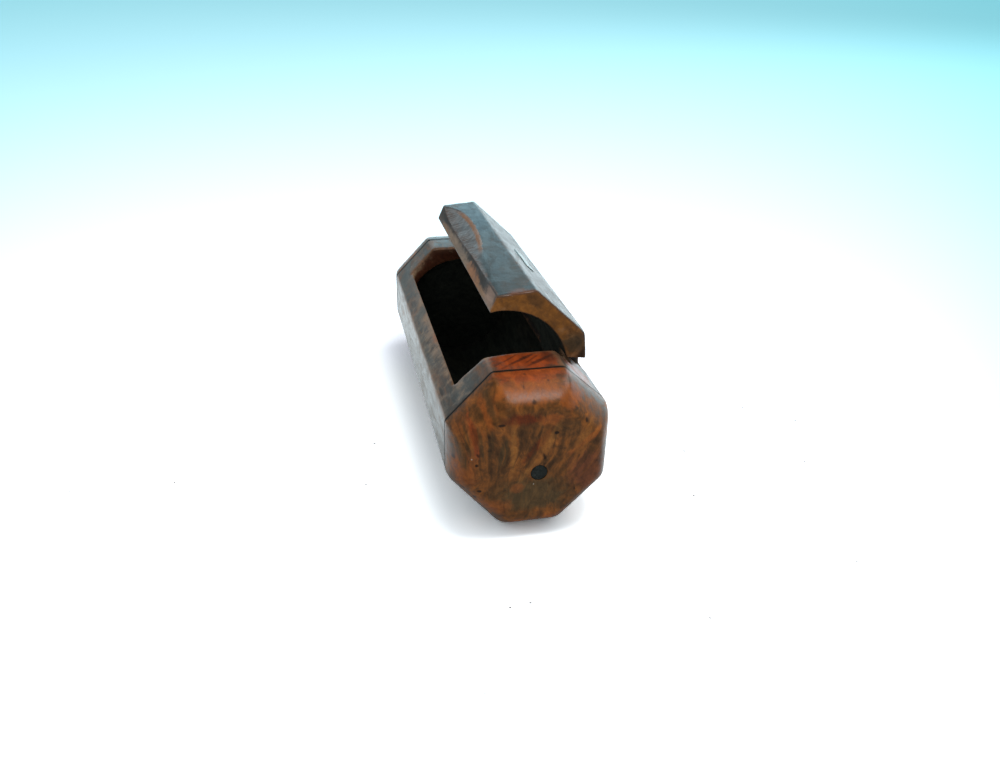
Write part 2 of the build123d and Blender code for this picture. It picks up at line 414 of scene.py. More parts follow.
@dataclass
class HandWear:
    """Softens a raw block as years of handling do, and marks where it has been worn."""

    voxel: float
    rounds: int
    dents: Sequence[Point] = ((7.0, 0.05), (22.0, 0.09))
    blur_rounds: int = 24
    fully_worn: float = 0.12

    def soften(self, piece: Piece) -> None:
        """Round the edges and let the faces waver a little, always inwards."""
        finish_with(piece, "REMESH", mode="VOXEL", voxel_size=self.voxel * MM, adaptivity=0.0)
        finish_with(piece, "SMOOTH", factor=0.5, iterations=self.rounds)
        for size, depth in self.dents:
            clouds = bpy.data.textures.new("hand_cut", "CLOUDS")
            clouds.noise_scale = size * MM
            clouds.noise_depth = 1
            finish_with(
                piece, "DISPLACE", texture=clouds, texture_coords="LOCAL", mid_level=1.0,
                strength=depth * MM,
            )

    @staticmethod
    def rub(piece: Piece, share: Callable[[Vector], float], rounds: int) -> None:
        """Wear one part of a piece further down.

        Args:
            piece: the mesh.
            share: how much of the wear a point in millimetres gets, from 0 to 1.
            rounds: smoothing rounds where the share is 1.
        """
        worn = piece.vertex_groups.new(name="worn")
        for vertex in piece.data.vertices:
            amount = share(vertex.co / MM)
            if amount > 0.0:
                worn.add([vertex.index], amount, "REPLACE")
        finish_with(piece, "SMOOTH", factor=0.5, iterations=rounds, vertex_group="worn")
        piece.vertex_groups.clear()

    def mark(
        self, piece: Piece, corners: Sequence[Point],
        zones: Callable[[np.ndarray, np.ndarray], Sequence[np.ndarray]],
    ) -> None:
        """Store the inside, sawn, filed and worn masks, and the depth below the facets.

        Args:
            piece: the mesh.
            corners: the section whose facets the depth is measured from.
            zones: gives three masks from points in millimetres and normals.
        """
        mesh = piece.data
        points, normals = rows_of(mesh, "co") / MM, rows_of(mesh, "normal")
        blurred = copy_of(piece, "blurred")
        finish_with(blurred, "SMOOTH", factor=0.5, iterations=self.blur_rounds)
        soft = rows_of(blurred.data, "co") / MM
        bpy.data.objects.remove(blurred)
        proud = ((points - soft) * normals).sum(axis=1)
        masks = np.column_stack([*zones(points, normals), rising(proud, 0.0, self.fully_worn)])
        store(mesh, "zones", masks.ravel(), colour=True)
        store(mesh, "sunk", facet_depth(points, corners))


def round_about(centre: Vector, radius: float) -> Callable[[Vector], float]:
    """Share of wear that fades out from a corner, both in millimetres."""
    def share(point: Vector) -> float:
        return max(0.0, 1.0 - ((point - centre).length / radius) ** 2) ** 2
    return share


def shade(piece: Piece, angle: float = 32.0) -> None:
    """Smooth shading, kept crisp at sawn edges."""
    take(piece)
    bpy.ops.object.shade_smooth_by_angle(angle=math.radians(angle))


def hand_over(piece: Piece, body: str, node: str) -> None:
    """Fix a finished piece in the frame: what it rides on and the node it stands for."""
    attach(piece, body)
    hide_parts(node)
    log.info("%s: %d faces", piece.name, len(piece.data.polygons))


def dress(piece: Piece, material: bpy.types.Material) -> None:
    """Give a piece its material."""
    piece.data.materials.clear()
    piece.data.materials.append(material)


# Finishes: the wood, its wear, the trim and the metal

@dataclass(frozen=True)
class Signal:
    """Output of a node, which takes part in plain arithmetic with numbers and other signals."""

    bench: "NodeBench"
    socket: bpy.types.NodeSocket

    def __add__(self, other: object) -> "Signal":
        """This plus another."""
        return self.bench.math("ADD", self, other)

    def __sub__(self, other: object) -> "Signal":
        """This less another."""
        return self.bench.math("SUBTRACT", self, other)

    def __rsub__(self, other: object) -> "Signal":
        """Another less this."""
        return self.bench.math("SUBTRACT", other, self)

    def __mul__(self, other: object) -> "Signal":
        """This times another."""
        return self.bench.math("MULTIPLY", self, other)

    def step(self, low: float, high: float, first: float = 0.0, last: float = 1.0) -> "Signal":
        """Smooth step from a first to a last value, between two levels of the signal."""
        node = self.bench.add(
            "ShaderNodeMapRange", self, low, high, first, last, interpolation_type="SMOOTHSTEP",
        )
        return Signal(self.bench, node.outputs[0])

    def fade(self, low: float, high: float, top: float = 1.0) -> "Signal":
        """Smooth step down to nothing."""
        return self.step(low, high, top, 0.0)


Signals = dict[str, Signal]


class NodeBench:
    """Adds, links and combines nodes in one tree."""

    def __init__(self, tree: bpy.types.NodeTree) -> None:
        self.tree = tree

    def add(self, kind: str, *values: object, **settings: object) -> bpy.types.Node:
        """New node with its settings, fed with values in the order of its inputs."""
        node = self.tree.nodes.new(kind)
        for name, value in settings.items():
            setattr(node, name, value)
        for socket, value in zip(node.inputs, values):
            self.feed(socket, value)
        return node

    def feed(self, socket: bpy.types.NodeSocket, value: object) -> None:
        """Link a socket, or set its own value."""
        if isinstance(value, Signal):
            self.tree.links.new(value.socket, socket)
        elif socket.type == "RGBA":
            socket.default_value = (*value, 1.0)
        else:
            socket.default_value = value

    def fill(self, node: bpy.types.Node, **values: object) -> Signals:
        """Feed a node's inputs by name, an underscore standing for a space.

        Args:
            node: the node to feed.
            **values: a signal, number, place or colour for each named input.

        Returns:
            The node's outputs by name.
        """
        for name, value in values.items():
            self.feed(node.inputs[name.replace("_", " ")], value)
        return {socket.name: Signal(self, socket) for socket in node.outputs}

    def math(self, operation: str, *values: object, clamp: bool = False) -> Signal:
        """One step of arithmetic."""
        node = self.add("ShaderNodeMath", *values, operation=operation, use_clamp=clamp)
        return Signal(self, node.outputs[0])

    def most(self, first: object, *others: object) -> Signal:
        """Largest of several values."""
        for other in others:
            first = self.math("MAXIMUM", first, other)
        return first

    def vector(self, operation: str, *values: object) -> Signal:
        """One step of vector arithmetic; lengths and dot products come out as numbers."""
        node = self.add("ShaderNodeVectorMath", *values, operation=operation)
        return self.fill(node)["Value" if operation in ("LENGTH", "DOT_PRODUCT") else "Vector"]

    def scaled(self, vector: Signal, factor: float) -> Signal:
        """Vector times a number."""
        node = self.add("ShaderNodeVectorMath", vector, operation="SCALE")
        return self.fill(node, Scale=factor)["Vector"]

    def mix(self, share: object, first: object, second: object, blend: str = "MIX") -> Signal:
        """Colour mixed from two."""
        node = self.add("ShaderNodeMix", share, data_type="RGBA", blend_type=blend)
        self.feed(node.inputs[6], first)
        self.feed(node.inputs[7], second)
        return Signal(self, node.outputs[2])

    def ramp(self, value: Signal, stops: Stops) -> Signal:
        """Colour read off a row of stops."""
        node = self.add("ShaderNodeValToRGB", value)
        elements = node.color_ramp.elements
        while len(elements) < len(stops):
            elements.new(0.5)
        for element, (place, colour) in zip(elements, stops):
            element.position = place
            element.color = (*colour, 1.0)
        return Signal(self, node.outputs[0])

    def noise(
        self, point: Signal, scale: float, detail: float = 2.0, roughness: float = 0.5,
        distortion: float = 0.0, colour: bool = False,
    ) -> Signal:
        """Noise over a place, as a number or as a colour."""
        outputs = self.fill(
            self.add("ShaderNodeTexNoise"), Vector=point, Scale=scale, Detail=detail,
            Roughness=roughness, Distortion=distortion,
        )
        return outputs["Color" if colour else "Fac"]

    def cells(self, point: Signal, scale: float, dimensions: str = "3D") -> Signals:
        """Scattered cell centres with the distance to the nearest."""
        node = self.add("ShaderNodeTexVoronoi", voronoi_dimensions=dimensions)
        return self.fill(node, Vector=point, Scale=scale)

    def split(self, vector: Signal) -> Signals:
        """A vector's X, Y and Z."""
        return self.fill(self.add("ShaderNodeSeparateXYZ", vector))

    def joined(self, x: Signal, y: Signal) -> Signal:
        """Vector from two numbers."""
        return self.fill(self.add("ShaderNodeCombineXYZ", x, y))["Vector"]

    def coordinates(self, kind: str) -> Signal:
        """Texture coordinates of one kind."""
        return self.fill(self.add("ShaderNodeTexCoord"))[kind]

    def attribute(self, name: str) -> Signals:
        """What the mesh stores under a name."""
        return self.fill(self.add("ShaderNodeAttribute", attribute_name=name))

    def millimetres(self, turn: float = 0.0, pivot: Point = (0.0, 0.0)) -> Signal:
        """The piece's own coordinates in millimetres, turned about an axis along Y."""
        angle = math.radians(turn)
        x = pivot[0] - (pivot[0] * math.cos(angle) + pivot[1] * math.sin(angle))
        z = pivot[1] - (-pivot[0] * math.sin(angle) + pivot[1] * math.cos(angle))
        enlarged = self.scaled(self.coordinates("Object"), 1 / MM)
        return self.fill(self.add(
            "ShaderNodeMapping", enlarged, (x, 0.0, z), (0.0, angle, 0.0), vector_type="POINT",
        ))["Vector"]

    def effect(self, tree: bpy.types.NodeTree, **values: object) -> Signals:
        """Place a shared effect with its own values."""
        return self.fill(self.add("ShaderNodeGroup", node_tree=tree), **values)

    def bump(self, height: Signal, strength: float = 1.0) -> Signal:
        """Normal of a relief whose height is in millimetres."""
        return self.fill(
            self.add("ShaderNodeBump"), Height=height, Strength=strength, Distance=MM,
        )["Normal"]


def new_effect(
    name: str, takes: Sequence[tuple[str, str]], gives: Sequence[str],
) -> tuple[NodeBench, Signals, bpy.types.Node]:
    """Empty shared effect.

    Args:
        name: the group's name.
        takes: names and kinds (Vector or Float) of its inputs.
        gives: names of its outputs, which are numbers.

    Returns:
        The bench, the inputs by name, and the output node.
    """
    tree = bpy.data.node_groups.new(name, "ShaderNodeTree")
    for label, kind in takes:
        tree.interface.new_socket(label, in_out="INPUT", socket_type=f"NodeSocket{kind}")
    for label in gives:
        tree.interface.new_socket(label, in_out="OUTPUT", socket_type="NodeSocketFloat")
    bench = NodeBench(tree)
    return bench, bench.fill(bench.add("NodeGroupInput")), bench.add("NodeGroupOutput")


def new_material(name: str) -> tuple[bpy.types.Material, bpy.types.Node]:
    """Empty material and its shader."""
    material = bpy.data.materials.new(name)
    material.use_nodes = True
    return material, material.node_tree.nodes["Principled BSDF"]


class SharedEffects:
    """Effects that several materials use, each built once."""

    def __init__(self) -> None:
        self.figure = self.burr_figure()
        self.patch = self.soft_patch()
        self.fan = self.fan_streaks()
        self.wear = self.edge_wear()
        self.dust = self.dust_specks()
        self.relief = self.fine_relief()

    @staticmethod
    def burr_figure() -> bpy.types.NodeTree:
        """Swirling burr figure: clouds, curls, fibre and dark pips."""
        bench, given, out = new_effect(
            "burr_figure", (("Place", "Vector"), ("Stretch", "Vector"), ("Fibre stretch", "Vector")),
            ("Cloud", "Curl", "Fibre", "Pip"),
        )
        spread = bench.vector("MULTIPLY", given["Place"], given["Stretch"])
        drift = bench.vector("SUBTRACT", bench.noise(spread, scale=0.13, colour=True), (0.5, 0.5, 0.5))
        bent = bench.vector("ADD", spread, bench.scaled(drift, 7.0))
        fibrous = bench.vector("MULTIPLY", bent, given["Fibre stretch"])
        cloud = bench.noise(bent, scale=0.16, detail=3.0, roughness=0.55)
        curl = bench.noise(bent, scale=0.5, detail=5.0, roughness=0.66, distortion=0.25)
        fibre = bench.noise(fibrous, scale=1.0, detail=3.0, roughness=0.6, distortion=0.3)
        dot = bench.cells(bent, 0.32)["Distance"].fade(0.10, 0.24)
        rare = bench.noise(bent, scale=0.21, detail=1.0).step(0.52, 0.60)
        bench.fill(
            out, Cloud=cloud.step(0.28, 0.72), Curl=curl.step(0.26, 0.74), Fibre=fibre, Pip=dot * rare,
        )
        return bench.tree

    @staticmethod
    def soft_patch() -> bpy.types.NodeTree:
        """Uneven cloud round one place, as wide as its reach."""
        takes = [(name, "Vector") for name in ("Place", "Centre", "Reach", "Axis")]
        bench, given, out = new_effect("soft_patch", [*takes, ("Lean", "Float")], ("Mask",))
        turned = bench.fill(
            bench.add("ShaderNodeVectorRotate", rotation_type="AXIS_ANGLE"),
            Vector=bench.vector("SUBTRACT", given["Place"], given["Centre"]),
            Axis=given["Axis"], Angle=given["Lean"],
        )["Vector"]
        away = bench.vector("LENGTH", bench.vector("DIVIDE", turned, given["Reach"]))
        ragged = bench.noise(given["Place"], scale=0.42, detail=3.0, roughness=0.65) * 1.5 - 0.75
        bench.fill(out, Mask=(away + ragged).fade(0.45, 1.15))
        return bench.tree

    @staticmethod
    def fan_streaks() -> bpy.types.NodeTree:
        """Streaks that fan out from one point of an end face."""
        bench, given, out = new_effect(
            "fan_streaks", (("Place", "Vector"), ("Centre", "Vector")), ("Streak",),
        )
        drift = bench.scaled(bench.noise(given["Place"], scale=0.12, colour=True), 4.0)
        away = bench.vector("SUBTRACT", bench.vector("ADD", given["Place"], drift), given["Centre"])
        parts = bench.split(away)
        angle = bench.math("ARCTAN2", parts["X"], parts["Z"])
        polar = bench.joined(angle * 11.0, bench.vector("LENGTH", away) * 0.05)
        streak = bench.noise(polar, scale=1.7, detail=3.0, roughness=0.6, distortion=0.1)
        bench.fill(out, Streak=streak.step(0.36, 0.66))
        return bench.tree

    @staticmethod
    def edge_wear() -> bpy.types.NodeTree:
        """Broken line of wear along the proud edges."""
        bench, given, out = new_effect("edge_wear", (("Place", "Vector"), ("Worn", "Float")), ("Mask",))
        broken = bench.noise(given["Place"], scale=0.7, detail=4.0, roughness=0.7) * 1.2 - 0.6
        bench.fill(out, Mask=(given["Worn"] + broken).step(0.3, 0.85))
        return bench.tree

    @staticmethod
    def dust_specks() -> bpy.types.NodeTree:
        """A few pale specks of dust."""
        bench, given, out = new_effect(
            "dust_specks", (("Place", "Vector"), ("Spacing", "Float")), ("Mask",),
        )
        cell = bench.cells(bench.vector("DIVIDE", given["Place"], given["Spacing"]), 1.0)
        speck = (cell["Distance"] * given["Spacing"]).fade(0.08, 0.20)
        bench.fill(out, Mask=speck * cell["Color"].step(0.62, 0.66))
        return bench.tree

    @staticmethod
    def fine_relief() -> bpy.types.NodeTree:
        """Height of the worn polish, in millimetres: soft waves, open pores and scratches."""
        bench, given, out = new_effect(
            "fine_relief", (("Place", "Vector"), ("Fibre stretch", "Vector")), ("Height",),
        )
        waves = bench.noise(given["Place"], scale=0.45)
        fibrous = bench.vector("MULTIPLY", given["Place"], given["Fibre stretch"])
        grain = bench.noise(fibrous, scale=1.6, detail=3.0, roughness=0.6)
        pores = bench.cells(given["Place"], 1.1)["Distance"].step(0.05, 0.16)
        bench.fill(out, Height=waves * 0.10 + grain * 0.035 + pores * 0.02)
        return bench.tree


@dataclass(frozen=True)
class Patch:
    """One place where the wood's colour differs, as an uneven ellipsoid in millimetres."""

    centre: Triple
    reach: Triple
    colour: Colour
    share: float = 0.85
    lean: float = 0.0
    axis: Triple = (0.0, 1.0, 0.0)


@dataclass(frozen=True)
class BurrWood:
    """Old polished burr wood with its figure, stains, cut faces, wear and dust."""

    name: str
    tones: Stops
    stretch: Triple
    fibre: Triple
    patches: Sequence[Patch] = ()
    knots: Sequence[Patch] = ()
    cut_outer: Colour = (0.045, 0.032, 0.024)
    cut_inner: Colour = (0.13, 0.065, 0.03)
    cut_depth: float = 1.2
    cut_patches: Sequence[Patch] = ()
    worn: Colour = (0.26, 0.12, 0.05)
    worn_share: float = 0.5
    fan: Triple | None = None
    fan_heights: Point = (16.0, 27.0)
    turned: float = 0.0
    pivot: Point = (0.0, 0.0)
    gloss: float = 0.36
    coat_ior: float = 1.42
    sheen_level: float = 0.2
    scooped: bool = False

    def make(self, shared: SharedEffects) -> bpy.types.Material:
        """Build the material.

        Args:
            shared: the effects that all the woods use.

        Returns:
            The finished material.
        """
        return WoodTree(self, shared).finished()


class WoodTree(NodeBench):
    """Node tree of one wood, with the signals that its steps share."""

    fibre_tone, curl_tone, least_tone = 0.7, 0.54, 0.38
    cloud_share, curl_share = 0.55, 0.45
    curl_rough, sawn_rough, filed_rough, sooty_rough = 0.14, 0.18, 0.12, 0.95
    pip_share, fresh_share, dust_share = 0.75, 0.9, 0.7
    dust_spacing = 6.5
    cut_fade = 1.1
    coat_roughness = 0.27
    stroke_depth = 0.22
    relief_strength = 0.8

    def __init__(self, wood: BurrWood, shared: SharedEffects) -> None:
        """Start the material and read what the mesh stores.

        Args:
            wood: the values of this wood.
            shared: the effects that all the woods use.
        """
        self.material, self.shader = new_material(wood.name)
        super().__init__(self.material.node_tree)
        self.wood, self.shared = wood, shared
        self.place = self.millimetres(-wood.turned, wood.pivot)
        self.parts = self.split(self.place)
        self.figure = self.effect(
            shared.figure, Place=self.place, Stretch=wood.stretch, Fibre_stretch=wood.fibre,
        )
        # Fine light and dark of the fibre and curls, which the colours are multiplied by
        tone = self.figure["Fibre"] * self.fibre_tone + self.figure["Curl"] * self.curl_tone
        tone = tone + self.least_tone
        self.detail = self.fill(self.add("ShaderNodeCombineColor", tone, tone, tone))["Color"]
        zones = self.attribute("zones")
        masks = self.fill(self.add("ShaderNodeSeparateColor", zones["Color"]))
        self.inside, self.sawn, self.filed = masks["Red"], masks["Green"], masks["Blue"]
        self.rubbed = zones["Alpha"]
        along = self.math("ABSOLUTE", self.parts["Y"]) - SEAM_Y
        self.seam = self.math("ABSOLUTE", along).fade(0.22, 0.60, 0.9)
        self.strokes = self.file_strokes()

    def finished(self) -> bpy.types.Material:
        """Feed the shader and give the finished material."""
        wood, curl = self.wood, self.figure["Curl"]
        rough = curl * self.curl_rough + self.sawn * self.sawn_rough
        rough = rough + self.filed * self.filed_rough + wood.gloss
        # The polish is gone from the cut, filed and inner faces, and thin over the curls
        dull = self.most(self.sawn * 0.9, self.filed * 0.8, self.inside, self.seam)
        dull = dull + curl.step(0.15, 0.9, 0.0, 0.5)
        relief = self.effect(self.shared.relief, Place=self.place, Fibre_stretch=wood.fibre)
        height = relief["Height"] + self.strokes * self.filed * self.stroke_depth
        self.fill(
            self.shader, Base_Color=self.colour(),
            Roughness=self.most(rough, self.inside * self.sooty_rough),
            Coat_Weight=self.math("SUBTRACT", 1.0, dull, clamp=True),
            Coat_Roughness=self.coat_roughness, Coat_IOR=wood.coat_ior,
            Specular_IOR_Level=wood.sheen_level, Normal=self.bump(height, self.relief_strength),
        )
        return self.material

    def colour(self) -> Signal:
        """Base colour, from the figure of the wood to the dust that lies on it."""
        wood, curl = self.wood, self.figure["Curl"]
        shade_value = self.figure["Cloud"] * self.cloud_share + curl * self.curl_share
        colour = self.ramp(shade_value, wood.tones)
        colour = self.stained(colour, wood.patches)
        if wood.fan:
            colour = self.streaked(colour)
        colour = self.mix(1.0, colour, self.detail, "MULTIPLY")
        colour = self.stained(colour, wood.knots)
        colour = self.mix(self.figure["Pip"] * self.pip_share, colour, PIP_BROWN)
        if wood.scooped:
            colour = self.with_scoop(colour)
        colour = self.mix(self.sawn, colour, self.cut_colour())
        wear = self.effect(self.shared.wear, Place=self.place, Worn=self.rubbed)["Mask"]
        whole = 1.0 - self.most(self.sawn, self.filed) * 0.8
        colour = self.mix(wear * wood.worn_share * whole, colour, wood.worn)
        # Snuff residue and painted shade inside the bore
        colour = self.mix(self.inside, colour, self.ramp(curl, RESIDUE_AND_SHADE_TONES))
        colour = self.mix(self.seam, colour, SEAM_GRIME)
        dust = self.effect(self.shared.dust, Place=self.place, Spacing=self.dust_spacing)["Mask"]
        return self.mix(dust * (1.0 - self.inside) * self.dust_share, colour, PALE_DUST)

    def stained(self, colour: Signal, patches: Sequence[Patch]) -> Signal:
        """Lay patches over a colour, one after another."""
        for patch in patches:
            mask = self.effect(
                self.shared.patch, Place=self.place, Centre=patch.centre, Reach=patch.reach,
                Axis=patch.axis, Lean=-math.radians(patch.lean),
            )["Mask"]
            colour = self.mix(mask * patch.share, colour, patch.colour)
        return colour

    def streaked(self, colour: Signal) -> Signal:
        """Golden and dark streaks that fan out over the end face."""
        streak = self.effect(self.shared.fan, Place=self.place, Centre=self.wood.fan)["Streak"]
        height = self.parts["Z"]
        low, high = self.wood.fan_heights
        flame = height.step(low - 3.0, low + 3.0, 0.2) * height.step(high - 3.0, high + 2.0, 1.0, 0.1)
        colour = self.mix(streak.step(0.5, 1.0, 0.0, 0.65) * flame, colour, FLAME_GOLD)
        return self.mix(streak.fade(0.0, 0.42, 0.66) * flame, colour, FLAME_BROWN)

    def file_strokes(self) -> Signal:
        """Slanting strokes of the file over the front bevel."""
        across = self.vector("DOT_PRODUCT", self.place, FILE_ACROSS)
        along = self.vector("DOT_PRODUCT", self.place, FILE_ALONG)
        return self.noise(
            self.joined(across, along), scale=1.15, detail=4.0, roughness=0.62, distortion=0.25,
        )

    def with_scoop(self, colour: Signal) -> Signal:
        """Grey filed floor of the scoop, a brown line under its edge, and painted shade under its wall
        toward the near end.
        """
        fresh = self.ramp(self.strokes, FILED_TONES)
        colour = self.mix(self.filed * self.fresh_share, colour, fresh)
        below, along = self.attribute("rim")["Fac"], self.parts["Y"]
        ragged = below + self.noise(self.place, scale=0.8, detail=3.0) * 0.9 - 0.45
        line = ragged.step(0.0, 0.2) * ragged.fade(0.9, 1.5)
        line = line * along.step(-10.0, 0.0) * along.fade(22.0, 30.0, 0.85)
        colour = self.mix(line, colour, RIM_BROWN)
        # Painted shade: a dark band just under the scoop's upper wall, strongest at the lid's near end
        painted_wall_shade = below.step(-0.5, 0.3) * below.fade(0.6, 1.8) * along.fade(-13.0, -4.0, 0.85)
        return self.mix(painted_wall_shade, colour, SCOOP_PAINTED_SHADE)

    def cut_colour(self) -> Signal:
        """Colour of the sawn edges: one colour near the outside, bare wood further in."""
        wood = self.wood
        depth = self.attribute("sunk")["Fac"] + self.figure["Curl"] * 0.55
        bare = depth.step(wood.cut_depth, wood.cut_depth + self.cut_fade)
        colour = self.stained(self.mix(bare, wood.cut_outer, wood.cut_inner), wood.cut_patches)
        return self.mix(1.0, colour, self.detail, "MULTIPLY")


@dataclass(frozen=True)
class DarkTrim:
    """Near-black wood of the stringing and the plugs."""

    name: str
    tone: Colour
    gloss: float

    def make(self, shared: SharedEffects) -> bpy.types.Material:
        """Build the material."""
        material, shader = new_material(self.name)
        bench = NodeBench(material.node_tree)
        place = bench.millimetres()
        drawn_out = bench.vector("MULTIPLY", place, (1.0, 0.4, 1.0))
        grain = bench.noise(drawn_out, scale=1.8, detail=4.0, roughness=0.65, distortion=0.5)
        dark, pale = (tuple(part * share for part in self.tone) for share in (0.5, 2.4))
        colour = bench.ramp(grain, ((0.25, dark), (0.55, self.tone), (0.8, pale)))
        dust = bench.effect(shared.dust, Place=place, Spacing=1.4)["Mask"]
        bench.fill(
            shader, Base_Color=bench.mix(dust * 0.25, colour, (0.25, 0.2, 0.15)),
            Roughness=grain * 0.25 + self.gloss, Specular_IOR_Level=0.12,
            Normal=bench.bump(grain * 0.05),
        )
        return material


@dataclass(frozen=True)
class OldMetal:
    """Metal with a drawn or rubbed surface, tarnish and small scratches."""

    name: str
    bright: Colour
    tarnish: Colour
    tarnished: float
    gloss: float
    turned: float = 0.0
    pivot: Point = (0.0, 0.0)

    def make(self) -> bpy.types.Material:
        """Build the material."""
        material, shader = new_material(self.name)
        bench = NodeBench(material.node_tree)
        place = bench.millimetres(-self.turned, self.pivot)
        drawn_out = bench.vector("MULTIPLY", place, (5.0, 0.35, 5.0))
        rubbed = bench.noise(drawn_out, scale=1.4, detail=4.0, roughness=0.7)
        stain = bench.noise(place, scale=0.6, detail=4.0, roughness=0.65, distortion=0.6)
        share = stain.step(0.62 - self.tarnished * 0.3, 0.85 - self.tarnished * 0.2)
        tone = bench.ramp(rubbed, ((0.2, (0.72, 0.72, 0.72)), (0.8, (1.0, 1.0, 1.0))))
        colour = bench.mix(1.0, bench.mix(share, self.bright, self.tarnish), tone, "MULTIPLY")
        bench.fill(
            shader, Base_Color=colour, Metallic=1.0,
            Roughness=rubbed * 0.18 + share * 0.2 + self.gloss, Normal=bench.bump(rubbed * 0.02, 0.6),
        )
        return material


# Colours, and where the patches, seams and file strokes lie, in millimetres

SEAM_Y = 43.03
FILE_ACROSS = (-0.56, 0.54, -0.62)
FILE_ALONG = (-0.055, -0.126, -0.061)
PIP_BROWN = (0.018, 0.008, 0.004)
SEAM_GRIME = (0.008, 0.007, 0.006)
PALE_DUST = (0.55, 0.5, 0.42)
# Inside the bore: snuff residue, and painted shade of the deep hollow
RESIDUE_AND_SHADE_TONES = ((0.0, (0.014, 0.018, 0.015)), (1.0, (0.040, 0.044, 0.034)))
FLAME_GOLD = (0.26, 0.086, 0.014)
FLAME_BROWN = (0.060, 0.027, 0.009)
FILED_TONES = (
    (0.30, (0.105, 0.110, 0.114)), (0.5, (0.165, 0.175, 0.180)), (0.70, (0.23, 0.24, 0.245)),
)
RIM_BROWN = (0.25, 0.115, 0.048)
SCOOP_PAINTED_SHADE = (0.020, 0.018, 0.014)
ORANGE = (0.32, 0.082, 0.012)
FIERY = (0.33, 0.056, 0.008)
OLIVE = (0.075, 0.042, 0.015)
DEEP_RED = (0.135, 0.022, 0.003)
RED_BROWN = (0.17, 0.050, 0.018)
GOLDEN = (0.28, 0.108, 0.021)
NEARLY_BLACK = (0.016, 0.008, 0.005)
# Painted reflection: blue-grey of the pale surroundings, laid on bevels and tops
PAINTED_REFLECTION_SLATE = (0.075, 0.074, 0.065)
UMBER = (0.075, 0.034, 0.016)
RUST = (0.26, 0.075, 0.017)
GRAIN_DARK = (0.035, 0.011, 0.006)


def face_patch(
    x: float, z: float, wide: float, high: float, colour: Colour, share: float = 0.85, lean: float = 0.0,
) -> Patch:
    """Patch on the near end face, through the roll of its edge."""
    return Patch((x, -52.0, z), (wide, 8.0, high), colour, share, lean)


def streak(
    x: float, z: float, half: float, wide: float, lean: float, colour: Colour, share: float,
) -> Patch:
    """Slanted streak on the near end face, its lean in degrees from upright."""
    return face_patch(x, z, wide, half, colour, share, lean)


def band_grain(x: float, y: float, half: float, wide: float, lean: float, share: float) -> Patch:
    """Dark slanting line of grain on the near band's top facet."""
    return Patch((x, y, 34.0), (wide, half, 1.5), GRAIN_DARK, share, lean, (0.0, 0.0, 1.0))


NEAR_CAP_PATCHES = (
    face_patch(11.2, 15.2, 5.0, 6.0, RED_BROWN, 0.9),
    face_patch(-1.2, 10.2, 8.5, 4.8, (0.095, 0.056, 0.021), 0.9),
    face_patch(-14.6, 17.1, 3.4, 4.6, ORANGE, 0.6),
    face_patch(-8.4, 8.0, 4.0, 2.4, ORANGE, 0.55),
    face_patch(-14.2, 25.6, 3.6, 2.6, RUST, 0.75),
    face_patch(-12.8, 21.4, 1.5, 3.0, RUST, 0.55),
    face_patch(-11.8, 32.4, 2.4, 2.0, ORANGE),
    face_patch(-9.8, 30.0, 2.0, 1.6, ORANGE),
    face_patch(2.5, 27.8, 3.6, 1.6, ORANGE),
    face_patch(6.9, 31.0, 4.0, 2.2, ORANGE),
    face_patch(6.7, 25.3, 2.8, 2.0, OLIVE, 0.4),
    face_patch(-2.9, 28.1, 4.8, 1.5, DEEP_RED, 0.9),
    face_patch(-4.0, 12.6, 1.6, 1.2, ORANGE, 0.5),
    face_patch(3.4, 4.6, 2.4, 1.2, ORANGE, 0.45),
    face_patch(-3.6, 3.4, 2.6, 1.1, ORANGE, 0.45),
    streak(3.0, 23.9, 5.6, 0.9, 26, GOLDEN, 0.75),
    streak(-1.6, 16.7, 3.6, 0.8, 40, GOLDEN, 0.6),
    streak(-0.3, 21.8, 5.0, 0.9, 37, DEEP_RED, 0.7),
    streak(-4.9, 22.1, 5.8, 0.8, 0, GOLDEN, 0.8),
    streak(-7.0, 20.8, 3.5, 1.1, 13, OLIVE, 0.8),
    streak(10.1, 22.2, 5.1, 0.8, 54, ORANGE, 0.8),
    streak(9.7, 23.6, 3.8, 0.9, 34, GOLDEN, 0.7),
    streak(-12.5, 24.3, 4.1, 0.7, -9, FIERY, 0.8),
    streak(-13.9, 24.0, 3.4, 0.5, -4, OLIVE, 0.7),
    streak(-11.3, 23.0, 3.6, 0.5, -6, OLIVE, 0.7),
    streak(-14.8, 20.2, 2.8, 0.9, -14, OLIVE, 0.8),
    streak(-9.8, 28.1, 2.6, 0.9, -21, ORANGE, 0.85),
    streak(-9.4, 23.0, 3.8, 0.7, 5, OLIVE, 0.7),
    streak(-9.6, 31.5, 3.4, 1.2, -12, OLIVE, 0.8),
    streak(-12.0, 31.0, 2.4, 1.0, 6, OLIVE, 0.8),
    Patch((-1.0, -50.0, 33.0), (9.0, 4.4, 2.8), ORANGE, 0.85),
    Patch((0.0, -45.0, 34.0), (9.5, 3.4, 1.8), FIERY, 0.75),
)
NEAR_CAP_KNOTS = (
    face_patch(-12.2, 18.7, 0.5, 0.5, NEARLY_BLACK, 0.95),
    face_patch(3.8, 24.7, 0.6, 0.4, NEARLY_BLACK, 0.9),
    face_patch(-7.4, 27.2, 0.9, 0.35, NEARLY_BLACK, 0.85),
    face_patch(-0.7, 31.2, 0.6, 0.5, NEARLY_BLACK, 0.8),
    face_patch(-11.6, 12.5, 0.6, 0.4, NEARLY_BLACK, 0.9),
)
